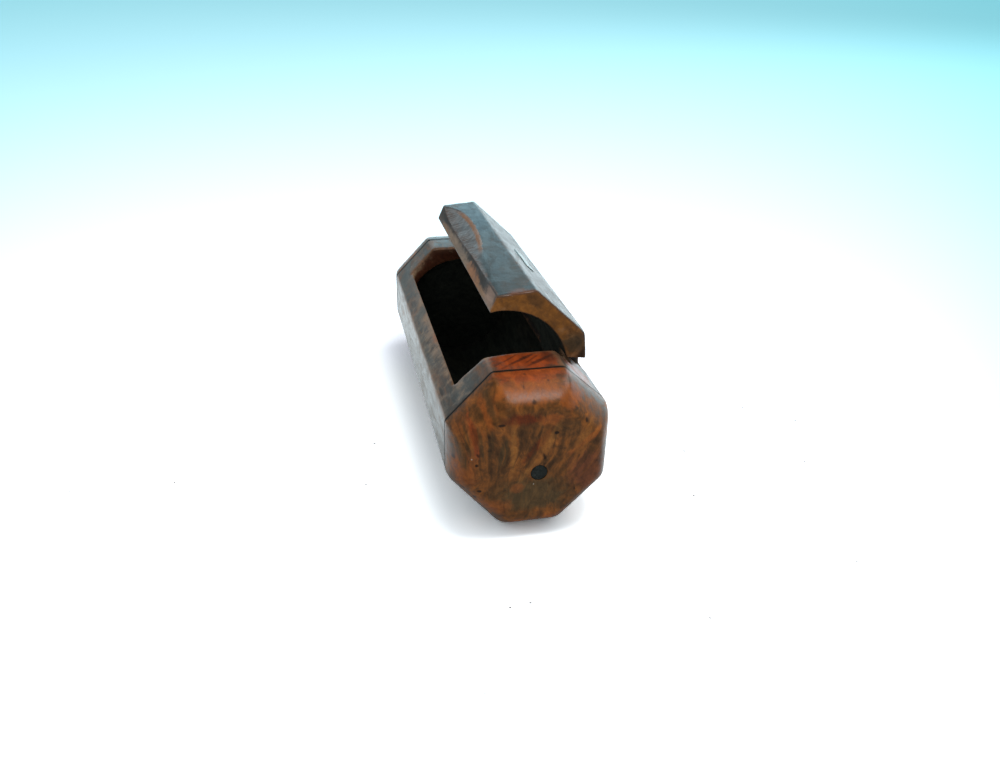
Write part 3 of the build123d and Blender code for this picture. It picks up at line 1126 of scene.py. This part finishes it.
CAP_TONES = (
    (0.0, (0.070, 0.026, 0.007)), (0.3, (0.105, 0.042, 0.011)), (0.55, (0.150, 0.054, 0.012)),
    (0.78, (0.21, 0.068, 0.012)), (1.0, (0.30, 0.095, 0.016)),
)
BODY_TONES = (
    (0.0, (0.030, 0.024, 0.019)), (0.35, (0.065, 0.044, 0.030)), (0.6, (0.105, 0.056, 0.030)),
    (0.85, (0.17, 0.070, 0.028)), (1.0, (0.24, 0.090, 0.030)),
)
LID_TONES = (
    (0.0, (0.014, 0.013, 0.012)), (0.4, (0.030, 0.026, 0.022)), (0.7, (0.050, 0.036, 0.026)),
    (1.0, (0.095, 0.050, 0.027)),
)


# The sub-assemblies

@dataclass
class BoxBody:
    """Bored block with the mouth, two notches and the fixed knuckle."""

    section: Section
    hinge: Hinge
    overrun: float = 7.0

    def build(self) -> Piece:
        """Saw, bore and carve the block, then soften it and trim it at the joints."""
        section, hinge = self.section, self.hinge
        body = section.bored("box_body_carved", section.corners(), section.joint_y + self.overrun)
        mouth, fixed = section.opening_y(), hinge.fixed_half
        notch = hinge.under(hinge.seat())
        for edge, y_low, y_high in (
            (hinge.straight(hinge.shoulder_level()), -mouth, mouth),
            (notch, fixed, hinge.outer),
            (notch, -hinge.outer, -fixed),
            (hinge.over(0.0, hinge.knuckle_radius), -fixed, fixed),
        ):
            outline = hinge.region(hinge.body_rim_down, edge)
            combine(body, prism("cut", outline, y_low, y_high), "DIFFERENCE")
        wear = HandWear(voxel=0.48, rounds=7)
        wear.soften(body)
        x, z = section.corners()[0]
        wear.rub(body, round_about(Vector((x, -mouth, z)), radius=7.0), rounds=60)
        hinge.drill(body)
        combine(body, block_between(-section.joint_y, section.joint_y), "INTERSECT", "MANIFOLD")
        wear.mark(body, section.corners(), self.zones)
        shade(body)
        return body

    def zones(self, points: np.ndarray, normals: np.ndarray) -> Sequence[np.ndarray]:
        """Masks of the bore, the sawn rim and nothing filed."""
        inside, sawn = bore_and_sawn(points, self.section, self.section.corners())
        return inside, sawn, np.zeros(len(points))


@dataclass
class Lid:
    """Lid with its knuckles, thumb scoop and tablet seat, made shut and then opened."""

    section: Section
    hinge: Hinge
    open_degrees: float
    end_gap: float = 0.2
    scoop_top_down: float = 3.75
    scoop_wall_run: float = 0.45
    scoop_overrun: float = 1.6
    scoop_above: float = 3.0
    scoop_rings: int = 60
    blend_reach: float = 2.2
    blend_spread: float = 1.3
    bore_clearance: float = 0.05
    stations: Sequence[tuple[float, float, float, float]] = (
        (34.9, 8.85, 0.04, 0.12),
        (33.4, 8.30, 0.05, 0.20),
        (31.6, 7.40, 0.15, 0.60),
        (29.5, 6.20, 0.25, 0.85),
        (27.0, 5.05, 0.30, 0.95),
        (23.0, 4.25, 0.35, 1.00),
        (18.0, 3.90, 0.35, 1.00),
        (13.5, 3.75, 0.35, 1.00),
        (7.0, 4.00, 0.32, 0.95),
        (0.0, 4.70, 0.28, 0.85),
        (-10.0, 6.25, 0.20, 0.60),
        (-20.0, 6.90, 0.15, 0.45),
        (-30.0, 7.20, 0.10, 0.35),
        (-34.9, 7.40, 0.10, 0.30),
    )
    tablet_centre: Point = (-0.5, -2.9)
    tablet_size: Point = (3.0, 12.7)
    tablet_thick: float = 0.9
    tablet_proud: float = 0.14
    tablet_corner: float = 0.7
    tablet_rim: Sequence[Point] = ((0.9, 0.14), (0.07, 0.14), (0.02, 0.18), (0.0, 0.26))

    def bevel_point(self, y: float, distance: float, height: float) -> Vector:
        """Point over the front bevel: distance down from its top edge, height off its face."""
        (x, z), (dx, dz) = self.section.lid_bevel()
        return Vector((x + dx * distance + dz * height, y, z + dz * distance - dx * height))

    def scoop(self) -> Piece:
        """The file's path through the bevel, its stations blended into smooth curves."""
        table = np.array(self.stations[::-1])
        rings = []
        for y in np.linspace(table[0, 0], table[-1, 0], self.scoop_rings):
            values = [self.blended(table, column, y) for column in (1, 2, 3)]
            rings.append(self.scoop_ring(y, *values))
        return loft("scoop_cutter", rings)

    def blended(self, table: np.ndarray, column: int, y: float) -> float:
        """Value at a station, eased over its neighbours."""
        offsets = np.linspace(-self.blend_reach, self.blend_reach, 9)
        weights = np.exp(-(offsets / self.blend_spread) ** 2)
        values = np.interp(y + offsets, table[:, 0], table[:, column])
        return float((values * weights).sum() / weights.sum())

    def scoop_ring(self, y: float, distance: float, wall: float, depth: float) -> list[Vector]:
        """Section of the cutter at one station."""
        far = self.hinge.lid_lip_down + self.scoop_overrun
        slope = (depth - wall) / (self.hinge.lid_lip_down - self.scoop_top_down)
        end_depth = wall + slope * (far - distance)
        above = self.scoop_above
        path = (
            (distance, above), (distance, 0.0), (distance + self.scoop_wall_run, -wall),
            (far, -end_depth), (far, above),
        )
        return [self.bevel_point(y, down_face, height) for down_face, height in path]

    def tablet_top(self) -> float:
        """Height of the tablet's face on the shut lid."""
        return self.section.height + self.section.lid_proud + self.tablet_proud

    def tablet_ring(self, height: float, shrink: float = 0.0) -> list[Vector]:
        """Rounded oblong of the tablet at one height."""
        half_x, half_y = self.tablet_size[0] / 2, self.tablet_size[1] / 2
        ring = []
        for turn, sx, sy in ((0, 1, 1), (90, -1, 1), (180, -1, -1), (270, 1, -1)):
            corner = (
                self.tablet_centre[0] + sx * (half_x - self.tablet_corner),
                self.tablet_centre[1] + sy * (half_y - self.tablet_corner),
            )
            ring += arc(corner, self.tablet_corner - shrink, turn, turn + 90, steps=6)
        return [Vector((x, y, height)) for x, y in ring]

    def open_up(self, piece: Piece) -> None:
        """Turn a finished piece about the pin to the angle that the lid stands open."""
        x, z = self.hinge.pivot
        to_pin = Matrix.Translation(Vector((x, 0, z)) * MM)
        turn = Matrix.Rotation(math.radians(self.open_degrees), 4, "Y")
        piece.matrix_world = to_pin @ turn @ to_pin.inverted()
        take(piece)
        bpy.ops.object.transform_apply(location=True, rotation=True, scale=True)

    def build(self) -> Piece:
        """Carve the lid shut, wear its corners, seat the tablet and open it."""
        section, hinge = self.section, self.hinge
        end = section.opening_y() - self.end_gap
        lid = section.bored("lid_carved", section.lid_corners(), end)
        inner = hinge.fixed_half + hinge.gap
        outer = hinge.outer - hinge.gap
        plain = hinge.straight(hinge.shoulder_level() + hinge.gap)
        tongue = hinge.under(hinge.knuckle_radius)
        hollow = hinge.over(hinge.gap, hinge.seat())
        keep, *others = [
            prism("keep", hinge.region(hinge.lid_lip_down, edge), y_low, y_high)
            for edge, y_low, y_high in (
                (plain, -CLEAR, -outer), (tongue, -outer, -inner), (hollow, -inner, inner),
                (tongue, inner, outer), (plain, outer, CLEAR),
            )
        ]
        for part in others:
            combine(keep, part, "UNION")
        combine(lid, keep, "INTERSECT")
        wear = HandWear(voxel=0.34, rounds=7)
        wear.soften(lid)
        x, z = section.lid_corners()[7]
        wear.rub(lid, round_about(Vector((x, -end, z)), radius=4.5), rounds=40)
        combine(lid, self.scoop(), "DIFFERENCE", "MANIFOLD")
        finish_with(lid, "SMOOTH", factor=0.4, iterations=1)
        hinge.drill(lid, self.bore_clearance)
        top = self.tablet_top()
        rings = [self.tablet_ring(top - self.tablet_thick), self.tablet_ring(top + 1)]
        combine(lid, loft("tablet_seat", rings), "DIFFERENCE", "MANIFOLD")
        wear.mark(lid, section.lid_corners(), self.zones)
        self.mark_rim(lid)
        self.open_up(lid)
        shade(lid)
        return lid

    def down_bevel(self, points: np.ndarray) -> np.ndarray:
        """Distance of points down the front bevel from its top edge."""
        (x, z), (dx, dz) = self.section.lid_bevel()
        return (points[:, 0] - x) * dx + (points[:, 2] - z) * dz

    def mark_rim(self, lid: Piece) -> None:
        """Store how far each point lies below the scoop's upper edge, in millimetres."""
        points = rows_of(lid.data, "co") / MM
        table = np.array(self.stations[::-1])
        edge = np.interp(points[:, 1], table[:, 0], table[:, 1])
        store(lid.data, "rim", self.down_bevel(points) - edge)

    def build_tablet(self) -> Piece:
        """The small bare tablet, a little smaller than its seat, with an eased rim."""
        top = self.tablet_top()
        rings = [self.tablet_ring(top - sunk, shrink) for sunk, shrink in self.tablet_rim]
        tablet = loft("lid_tablet_plate", rings)
        self.open_up(tablet)
        shade(tablet, angle=50.0)
        return tablet

    def zones(self, points: np.ndarray, normals: np.ndarray) -> Sequence[np.ndarray]:
        """Masks of the bore, the sawn edges and the filed scoop on the shut lid."""
        inside, sawn = bore_and_sawn(points, self.section, self.section.lid_corners())
        (x, z), (dx, dz) = self.section.lid_bevel()
        depth = (points[:, 2] - z) * dx - (points[:, 0] - x) * dz
        outwards = normals[:, 0] * dz - normals[:, 2] * dx
        distance = self.down_bevel(points)
        filed = rising(depth, start=0.14, span=0.1) * rising(outwards, start=0.75, span=0.15)
        filed *= (distance > 2.5) & (distance < 10.0)
        return inside, sawn * (1 - filed), filed


class End(Enum):
    """The two ends of the box."""

    NEAR = -1
    FAR = 1


@dataclass
class EndCap:
    """Glued octagonal end with a pillowed face, its spigot, stringing and plug."""

    section: Section
    end: End
    length: float = 10.6
    straight: float = 0.8
    edge_radius: float = 3.6
    insets: Sequence[float] = (5.4, 5.2, 6.0, 6.2, 6.4, 5.6, 6.4, 5.5)
    dome: float = 0.22
    string_width: float = 0.35
    string_depth: float = 0.9
    spigot_length: float = 4.5
    spigot_gap: float = 0.05
    plug_centre: Point = (0.5, 15.8)
    plug_radius: float = 1.75
    plug_depth: float = 4.0
    plug_gap: float = 0.06
    plug_rim: Sequence[Point] = ((3.98, 0.0), (0.22, 0.0), (0.12, 0.04), (0.06, 0.14), (0.04, 0.5))
    overrun: float = 7.0
    roll_shares: Sequence[float] = (
        0.1, 0.2, 0.3, 0.4, 0.5, 0.58, 0.66, 0.74, 0.8, 0.86, 0.91, 0.95, 0.975,
    )
    face_rings: Sequence[Point] = ((0.0, 1.0), (2.2, 0.55), (4.8, 0.0))

    def name(self, piece: str) -> str:
        """Name of one piece at this end."""
        return f"{self.end.name.lower()}_{piece}"

    def at(self, past_joint: float) -> float:
        """Distance along the box of a plane past the joint."""
        return self.end.value * (self.section.joint_y + past_joint)

    def between(self, first: float, second: float) -> tuple[float, float]:
        """Two planes past the joint, in order along Y."""
        low, high = sorted((self.at(first), self.at(second)))
        return low, high

    def roll(self, inset: float, rise: float) -> float:
        """How far one side is drawn in at a height up the roll."""
        upper = self.length - self.straight - self.edge_radius
        radius = (inset ** 2 + upper ** 2 - self.edge_radius ** 2) / (2 * (inset - self.edge_radius))
        if rise < upper * radius / (radius - self.edge_radius):
            return radius - math.sqrt(radius ** 2 - rise ** 2)
        return inset - math.sqrt(max(0.0, self.edge_radius ** 2 - (rise - upper) ** 2))

    def blank(self) -> Piece:
        """Whole rolled end, run on past the joint so that its edge there stays straight."""
        full = self.length - self.straight
        plain = [0.0] * len(self.insets)
        stations = [(-self.overrun, plain), (self.straight, plain)]
        for share in self.roll_shares:
            rise = full * share
            stations.append((self.straight + rise, [self.roll(inset, rise) for inset in self.insets]))
        for past_edge, share in self.face_rings:
            insets = [inset + past_edge for inset in self.insets]
            stations.append((self.length - self.dome * share, insets))
        rings = []
        for past_joint, insets in stations:
            y = self.at(past_joint)
            rings.append([Vector((x, y, z)) for x, z in self.section.drawn_in(insets)])
        return loft(self.name("cap_blank"), rings)

    def build(self) -> tuple[Piece, Piece, Piece]:
        """Cap, stringing and plug of this end."""
        worn = self.blank()
        worn.name = self.name("end_cap_turned")
        wear = HandWear(voxel=0.32, rounds=10)
        wear.soften(worn)
        wear.rub(worn, self.roll_share, rounds=50)
        string = copy_of(worn, self.name("stringing_line"))
        width = self.string_width
        combine(worn, block_between(*self.between(width, 20)), "INTERSECT", "MANIFOLD")
        combine(string, block_between(*self.between(0.0, width)), "INTERSECT", "MANIFOLD")
        core = self.section.drawn_in([self.string_depth] * len(self.insets))
        through = prism("core", core, *self.between(-1.01, width + 1.01))
        combine(string, through, "DIFFERENCE", "MANIFOLD")
        tenon = prism("tenon", core, *self.between(0.0, width + 0.2))
        radius = self.section.bore_radius - self.spigot_gap
        turned = disc((0.0, self.section.bore_z), radius, steps=96)
        spigot = prism("spigot", turned, *self.between(-self.spigot_length, 0.5))
        combine(tenon, spigot, "UNION", "MANIFOLD")
        combine(worn, tenon, "UNION", "MANIFOLD")
        hole = disc(self.plug_centre, self.plug_radius)
        hole_cut = prism("hole", hole, *self.between(self.length - self.plug_depth, self.length + 2))
        combine(worn, hole_cut, "DIFFERENCE", "MANIFOLD")
        wear.mark(worn, self.section.corners(), self.zones)
        self.shade_plug_rim(worn)
        shade(worn)
        shade(string)
        return worn, string, self.build_plug()

    def roll_share(self, point: Vector) -> float:
        """Share of extra wear: none at the joint, all of it over the roll and the face."""
        past = (abs(point.y) - self.section.joint_y - 1.5) / 4.0
        return min(1.0, max(0.0, past))

    def shade_plug_rim(self, cap: Piece) -> None:
        """Take the wear colour off the plug hole's rim, so that a painted shade stays round the plug."""
        masks = cap.data.attributes["zones"].data
        for (x, _, z), mask in zip(rows_of(cap.data, "co") / MM, masks):
            if math.dist((x, z), self.plug_centre) < self.plug_radius + 0.8:
                mask.color[3] = 0.0

    def build_plug(self) -> Piece:
        """Turned plug with an eased rim, a shade smaller than its hole."""
        rings = []
        for sunk, eased in self.plug_rim:
            y = self.at(self.length - sunk)
            outline = disc(self.plug_centre, self.plug_radius - self.plug_gap - eased)
            rings.append([Vector((x, y, z)) for x, z in outline])
        plug = loft(self.name("cap_plug_turned"), rings)
        shade(plug, angle=50.0)
        return plug

    def zones(self, points: np.ndarray, normals: np.ndarray) -> Sequence[np.ndarray]:
        """Masks of the spigot's end, seen inside the box, and nothing sawn or filed."""
        within = (np.abs(points[:, 1]) < self.section.joint_y - 0.1).astype(float)
        none = np.zeros(len(points))
        return within, none, none


@dataclass(frozen=True)
class PhotoCamera:
    """Where the photograph was taken from: angles in radians, its place and lens in millimetres."""

    heading: float = 0.230883
    pitch: float = 0.476766
    roll: float = 0.025384
    place: Triple = (-40.324, -190.835, 109.354)
    lens: float = 30.6
    sensor: float = 36.0
    clip_start: float = 0.005

    def stand(self) -> None:
        """Put the camera there and make it the scene's own."""
        level = math.cos(self.pitch)
        ahead = Vector((
            math.sin(self.heading) * level, math.cos(self.heading) * level, -math.sin(self.pitch),
        ))
        right = Vector((math.cos(self.heading), -math.sin(self.heading), 0.0))
        up = right.cross(ahead)
        turned_right = right * math.cos(self.roll) + up * math.sin(self.roll)
        turned_up = up * math.cos(self.roll) - right * math.sin(self.roll)
        clear_selection()
        bpy.ops.object.camera_add()
        view = bpy.context.object
        view.name = "photo_camera"
        rotation = Matrix((turned_right, turned_up, -ahead)).transposed().to_4x4()
        view.matrix_world = Matrix.Translation(Vector(self.place) * MM) @ rotation
        view.data.sensor_width = self.sensor
        view.data.lens = self.lens
        view.data.clip_start = self.clip_start
        bpy.context.scene.camera = view


@dataclass
class Studio:
    """Pale floor, soft lamps and the light all round."""

    view: PhotoCamera
    camera_foot: Triple = (-0.040, -0.191, 0.0)
    floor_size: float = 9.0
    exposure: float = 1.10
    channels: Sequence[Triple] = ((1.03, 1.0, 1.0), (1.34, 0.27, 1.07), (1.48, 0.25, 1.11))
    crumb: Colour = (0.12, 0.10, 0.09)
    bounce: Colour = (0.88, 0.92, 0.95)
    glare: Colour = (0.85, 0.95, 1.0)
    unlit: Colour = (0.02, 0.02, 0.02)
    room: Colour = (0.93, 0.98, 1.0)
    walls: Stops = (
        (0.0, (0.66, 0.93, 1.0)), (0.22, (0.50, 0.84, 1.0)), (0.33, (0.24, 0.36, 0.40)),
        (0.5, (0.09, 0.12, 0.13)), (1.0, (0.06, 0.08, 0.09)),
    )

    def floor(self) -> None:
        """Pale sheet that the box stands on."""
        clear_selection()
        bpy.ops.mesh.primitive_plane_add(size=self.floor_size, location=(0, 0, 0))
        sheet = bpy.context.object
        sheet.name = "studio_floor"
        take(sheet)
        bpy.ops.object.transform_apply(location=True, rotation=True, scale=True)
        dress(sheet, self.paper())

    def paper(self) -> bpy.types.Material:
        """The sheet's material: its colour in the picture, and what it sends back to the box."""
        material, shader = new_material("pale_floor")
        bench = NodeBench(material.node_tree)
        place = bench.coordinates("Object")
        turned = bench.add(
            "ShaderNodeMapping", place, self.camera_foot, (0.0, 0.0, -self.view.heading),
            vector_type="TEXTURE",
        )
        parts = bench.split(bench.fill(turned)["Vector"])
        rays = bench.fill(bench.add("ShaderNodeLightPath"))
        glossy = rays["Is Glossy Ray"]
        pictured = bench.mix(self.crumbs(bench, place), self.tint(bench, parts), self.crumb)
        mirrored = parts["Y"].step(0.13, 0.20, 0.10) * parts["X"].step(-0.35, 0.05, 0.6)
        shiny = bench.mix(mirrored, self.unlit, self.glare)
        sent_back = bench.mix(glossy, self.bounce, shiny)
        bench.fill(
            shader, Base_Color=bench.mix(rays["Is Camera Ray"], sent_back, pictured),
            Roughness=0.9, Specular_IOR_Level=0.0, Emission_Color=self.glare,
            Emission_Strength=mirrored * glossy * 0.4,
        )
        return material

    def tint(self, bench: NodeBench, parts: Signals) -> Signal:
        """Colour in the picture, which turns darker and bluer with distance and to the sides.

        Args:
            bench: the material's nodes.
            parts: place from the camera's foot, with Y ahead.

        Returns:
            The colour.
        """
        # Light falls off with distance, and to both sides of a line left of the middle
        ahead = bench.most(parts["Y"], 0.12)
        side = bench.math("DIVIDE", parts["X"], ahead) + 0.15
        side = bench.math("MINIMUM", side * side, 0.7)
        level = (bench.math("DIVIDE", 0.215, ahead) + 0.46) * (side * -0.62 + 1.0)
        channels = []
        for top, power, least in self.channels:
            curve = bench.math("POWER", level, power) * top
            channels.append(bench.most(curve, level * least) * self.exposure)
        return bench.fill(bench.add("ShaderNodeCombineColor", *channels))["Color"]

    @staticmethod
    def crumbs(bench: NodeBench, place: Signal) -> Signal:
        """A few dark crumbs near the box."""
        cell = bench.cells(place, 110.0, "2D")
        speck = cell["Distance"].fade(0.02, 0.045, 0.9) * cell["Color"].step(0.80, 0.81)
        return speck * bench.vector("LENGTH", place).fade(0.07, 0.14)

    @staticmethod
    def softbox(
        name: str, place: Triple, size: Point, radiance: float, colour: Colour,
        aim: Triple = (0.0, 0.0, 0.02),
    ) -> None:
        """Rectangular lamp turned to a point.

        Args:
            name: the lamp's name.
            place: its middle, in metres.
            size: width and height, in metres.
            radiance: brightness of its face.
            colour: its tint.
            aim: where it looks, in metres.
        """
        clear_selection()
        bpy.ops.object.light_add(type="AREA", location=place)
        lamp = bpy.context.object
        lamp.name = name
        way = Vector(aim) - Vector(place)
        lamp.rotation_euler = way.to_track_quat("-Z", "Y").to_euler()
        lamp.data.shape = "RECTANGLE"
        lamp.data.size, lamp.data.size_y = size
        lamp.data.energy = radiance * math.pi * size[0] * size[1]
        lamp.data.color = colour

    def lamps(self) -> None:
        """One overhead box that makes the soft highlight, and a key from behind on the right."""
        self.softbox(
            "overhead", place=(0.09, -0.07, 0.60), size=(0.20, 0.24), radiance=8.0,
            colour=(1.0, 0.99, 0.97),
        )
        self.softbox(
            "key", place=(0.75, 0.45, 0.95), size=(0.6, 0.6), radiance=3.0, colour=(1.0, 0.98, 0.95),
        )

    def world(self) -> None:
        """Even pale light all round; shiny faces see a blue-white room, darker overhead."""
        world = bpy.data.worlds.new("studio")
        bpy.context.scene.world = world
        world.use_nodes = True
        bench = NodeBench(world.node_tree)
        parts = bench.split(bench.coordinates("Generated"))
        rays = bench.fill(bench.add("ShaderNodeLightPath"))
        glossy = rays["Is Glossy Ray"]
        mirrored = parts["Y"].step(-0.5, 0.5, 0.07) * parts["X"].step(-0.42, 0.10, 0.12) * 2.0
        plain = (1.0 - glossy) * (rays["Is Camera Ray"] * 0.37 + 0.58)
        bench.fill(
            world.node_tree.nodes["Background"], Strength=glossy * mirrored + plain,
            Color=bench.mix(glossy, self.room, bench.ramp(parts["Z"], self.walls)),
        )


@dataclass
class SnuffBox:
    """The whole box: its wood, its trim and the pieces they dress."""

    section: Section
    hinge: Hinge
    open_degrees: float
    shared: SharedEffects

    def body_wood(self) -> BurrWood:
        """Dark brown wood of the block, red on the near band."""
        return BurrWood(
            "body_burr", BODY_TONES, stretch=(1.0, 0.35, 1.0), fibre=(1.1, 0.16, 1.1),
            patches=(
                Patch((0.0, -38.6, 34.2), (9.0, 6.5, 1.6), FIERY, 0.95),
                # Painted reflection in blue-grey on the near band's front bevel
                Patch((-12.0, -38.5, 29.0), (4.0, 5.0, 4.5), PAINTED_REFLECTION_SLATE, 0.8),
                Patch((12.5, -38.0, 30.0), (4.0, 6.0, 4.0), FIERY, 0.7),
                Patch((-12.5, 0.0, 29.0), (5.0, 42.0, 5.0), (0.30, 0.195, 0.125), 0.8),
                Patch((-13.4, -10.0, 28.4), (2.4, 5.0, 2.4), ORANGE, 0.6),
                Patch((-12.0, -26.0, 29.4), (2.0, 4.0, 2.0), ORANGE, 0.5),
                # Painted reflection in blue-grey on the front bevel
                Patch((-14.6, 8.0, 27.0), (2.2, 4.0, 2.2), PAINTED_REFLECTION_SLATE, 0.7),
                # Pale tan over the left side: partly its tan streaks, partly a painted grazing sheen
                Patch((-17.0, -10.0, 16.0), (3.0, 60.0, 12.0), (0.22, 0.17, 0.12), 0.55),
                band_grain(-2.4, -37.6, 4.4, 0.28, -48.0, 0.6),
                band_grain(-0.4, -38.6, 6.0, 0.5, -54.0, 0.75),
                band_grain(2.0, -38.6, 3.6, 0.25, -46.0, 0.5),
                band_grain(3.6, -39.4, 5.0, 0.6, -56.0, 0.75),
                band_grain(-5.2, -39.8, 2.0, 0.3, -50.0, 0.5),
                Patch((5.8, -37.5, 34.0), (1.6, 3.6, 1.5), (0.05, 0.016, 0.008), 0.6),
                # Painted reflection in blue-grey on the front bevel near the far end
                Patch((-14.0, 33.0, 27.0), (6.0, 16.0, 6.0), PAINTED_REFLECTION_SLATE, 0.6),
            ),
            cut_outer=(0.46, 0.31, 0.19), cut_inner=(0.17, 0.07, 0.028),
            cut_patches=(
                Patch((0.0, 34.6, 28.0), (16.0, 1.6, 12.0), (0.075, 0.018, 0.007), 0.95),
                Patch((0.0, -34.6, 28.0), (16.0, 1.6, 12.0), (0.11, 0.030, 0.014), 0.9),
                # Painted shade: the hinge-side rim under the open lid, made nearly black
                Patch((13.0, 0.0, 27.0), (5.5, 44.0, 5.5), (0.018, 0.011, 0.009), 0.97),
            ),
            worn=(0.24, 0.11, 0.048), worn_share=0.45,
        )

    def lid_wood(self) -> BurrWood:
        """Almost black wood of the lid, golden brown where its end was cut."""
        return BurrWood(
            "lid_burr", LID_TONES, stretch=(1.0, 0.4, 1.0), fibre=(1.1, 0.2, 1.1),
            patches=(
                Patch((-9.5, -34.0, 32.0), (4.5, 2.2, 3.0), RED_BROWN, 0.7),
                # Painted reflection: blue-grey of the backdrop laid on the far half of the front bevel
                Patch((-9.5, 20.0, 32.5), (4.0, 15.0, 4.0), (0.034, 0.060, 0.078), 0.85),
                Patch((-9.0, -22.0, 33.0), (2.5, 8.0, 3.0), (0.050, 0.034, 0.022), 0.6),
                Patch((-7.4, -6.0, 34.4), (0.8, 26.0, 0.8), UMBER, 0.7),
            ),
            cut_outer=(0.040, 0.036, 0.032), cut_inner=(0.25, 0.150, 0.088), cut_depth=1.9,
            cut_patches=(
                Patch((-11.8, 4.0, 25.4), (1.8, 22.0, 1.8), (0.25, 0.185, 0.135), 0.8),
                Patch((-11.6, -14.0, 25.2), (2.2, 8.0, 2.2), (0.33, 0.145, 0.065), 0.8),
                Patch((-12.2, -30.0, 26.4), (4.0, 4.5, 3.4), (0.29, 0.195, 0.150), 0.85),
                Patch((-12.2, 31.0, 26.6), (4.0, 4.0, 4.0), (0.060, 0.052, 0.044), 0.8),
                Patch((-2.0, -34.6, 29.5), (18.0, 1.6, 9.5), (0.245, 0.092, 0.016), 0.97),
                Patch((7.4, -34.6, 31.2), (3.2, 1.5, 2.8), (0.070, 0.044, 0.022), 0.9),
                Patch((10.8, -34.6, 30.6), (1.6, 1.5, 2.4), (0.030, 0.017, 0.009), 0.9),
                Patch((-6.0, -34.6, 32.5), (3.0, 1.5, 1.6), (0.07, 0.034, 0.014), 0.6),
            ),
            worn=(0.17, 0.075, 0.036), worn_share=0.6, coat_ior=1.38, sheen_level=0.16,
            turned=self.open_degrees, pivot=self.hinge.pivot, scooped=True,
        )

    @staticmethod
    def cap_wood(end: End) -> BurrWood:
        """Streaked and stained wood of one end cap."""
        if end is End.NEAR:
            return BurrWood(
                "near_cap_burr", CAP_TONES, stretch=(1.2, 0.8, 0.9), fibre=(1.7, 1.0, 0.8),
                patches=NEAR_CAP_PATCHES, knots=NEAR_CAP_KNOTS, fan=(-7.0, 0.0, -9.0),
                coat_ior=1.31, sheen_level=0.12,
            )
        return BurrWood(
            "far_cap_burr", CAP_TONES, stretch=(0.9, 0.6, 1.1), fibre=(1.4, 1.0, 0.8),
            fan=(9.0, 0.0, -12.0), fan_heights=(10.0, 26.0),
            patches=(
                Patch((5.0, 52.0, 12.0), (7.0, 8.0, 5.0), OLIVE),
                Patch((-8.0, 52.0, 24.0), (5.0, 8.0, 5.0), FIERY, 0.7),
                Patch((6.0, 50.0, 28.0), (6.0, 8.0, 3.0), RED_BROWN, 0.8),
                # Painted reflection in blue-grey on the top of the far end
                Patch((-4.0, 46.0, 33.0), (10.0, 5.0, 4.0), PAINTED_REFLECTION_SLATE, 0.75),
            ),
        )

    def build(self) -> None:
        """Make, dress and hand over every piece."""
        body = BoxBody(self.section, self.hinge).build()
        dress(body, self.body_wood().make(self.shared))
        hand_over(body, "box", "box_body")
        lid_maker = Lid(self.section, self.hinge, self.open_degrees)
        lid = lid_maker.build()
        dress(lid, self.lid_wood().make(self.shared))
        hand_over(lid, "lid", "lid")
        tablet = lid_maker.build_tablet()
        white_metal = OldMetal(
            "tablet_metal", bright=(0.66, 0.65, 0.62), tarnish=(0.20, 0.17, 0.13),
            tarnished=0.4, gloss=0.28, turned=self.open_degrees, pivot=self.hinge.pivot,
        )
        dress(tablet, white_metal.make())
        hand_over(tablet, "lid", "lid_tablet")
        ebony = DarkTrim("ebonised_line", (0.006, 0.005, 0.005), gloss=0.55).make(self.shared)
        plug_wood = DarkTrim("dark_plug_wood", (0.021, 0.025, 0.023), gloss=0.38).make(self.shared)
        for end in End:
            cap, string, plug = EndCap(self.section, end).build()
            side = end.name.lower()
            cap_wood = self.cap_wood(end).make(self.shared)
            for piece, material, slot, node in (
                (cap, cap_wood, "cap_wood", "end_cap"),
                (string, ebony, "dark_stringing", "stringing"),
                (plug, plug_wood, "dark_plug", "cap_plug"),
            ):
                dress(piece, material)
                hand_over(piece, "box", f"{side}_{node}")
        brass = OldMetal(
            "pin_brass", bright=(0.55, 0.38, 0.16), tarnish=(0.12, 0.07, 0.03), tarnished=0.6,
            gloss=0.3,
        )
        wire = brass.make()
        for slot in frame["nodes"]["hinge_pin"].material_slots:
            slot.material = wire


def main() -> None:
    """Stand the camera and the studio, then build the box."""
    logging.basicConfig(level=logging.INFO)
    bpy.context.scene.view_settings.view_transform = "Standard"
    joint = frame["joints"][0]
    pivot = (joint["pos_m"][0] / MM, joint["pos_m"][2] / MM)
    view = PhotoCamera()
    view.stand()
    studio = Studio(view)
    studio.floor()
    studio.lamps()
    studio.world()
    section = Section()
    SnuffBox(section, Hinge(section, pivot), -joint["range_deg"][0], SharedEffects()).build()


if __name__ == "__main__":
    main()
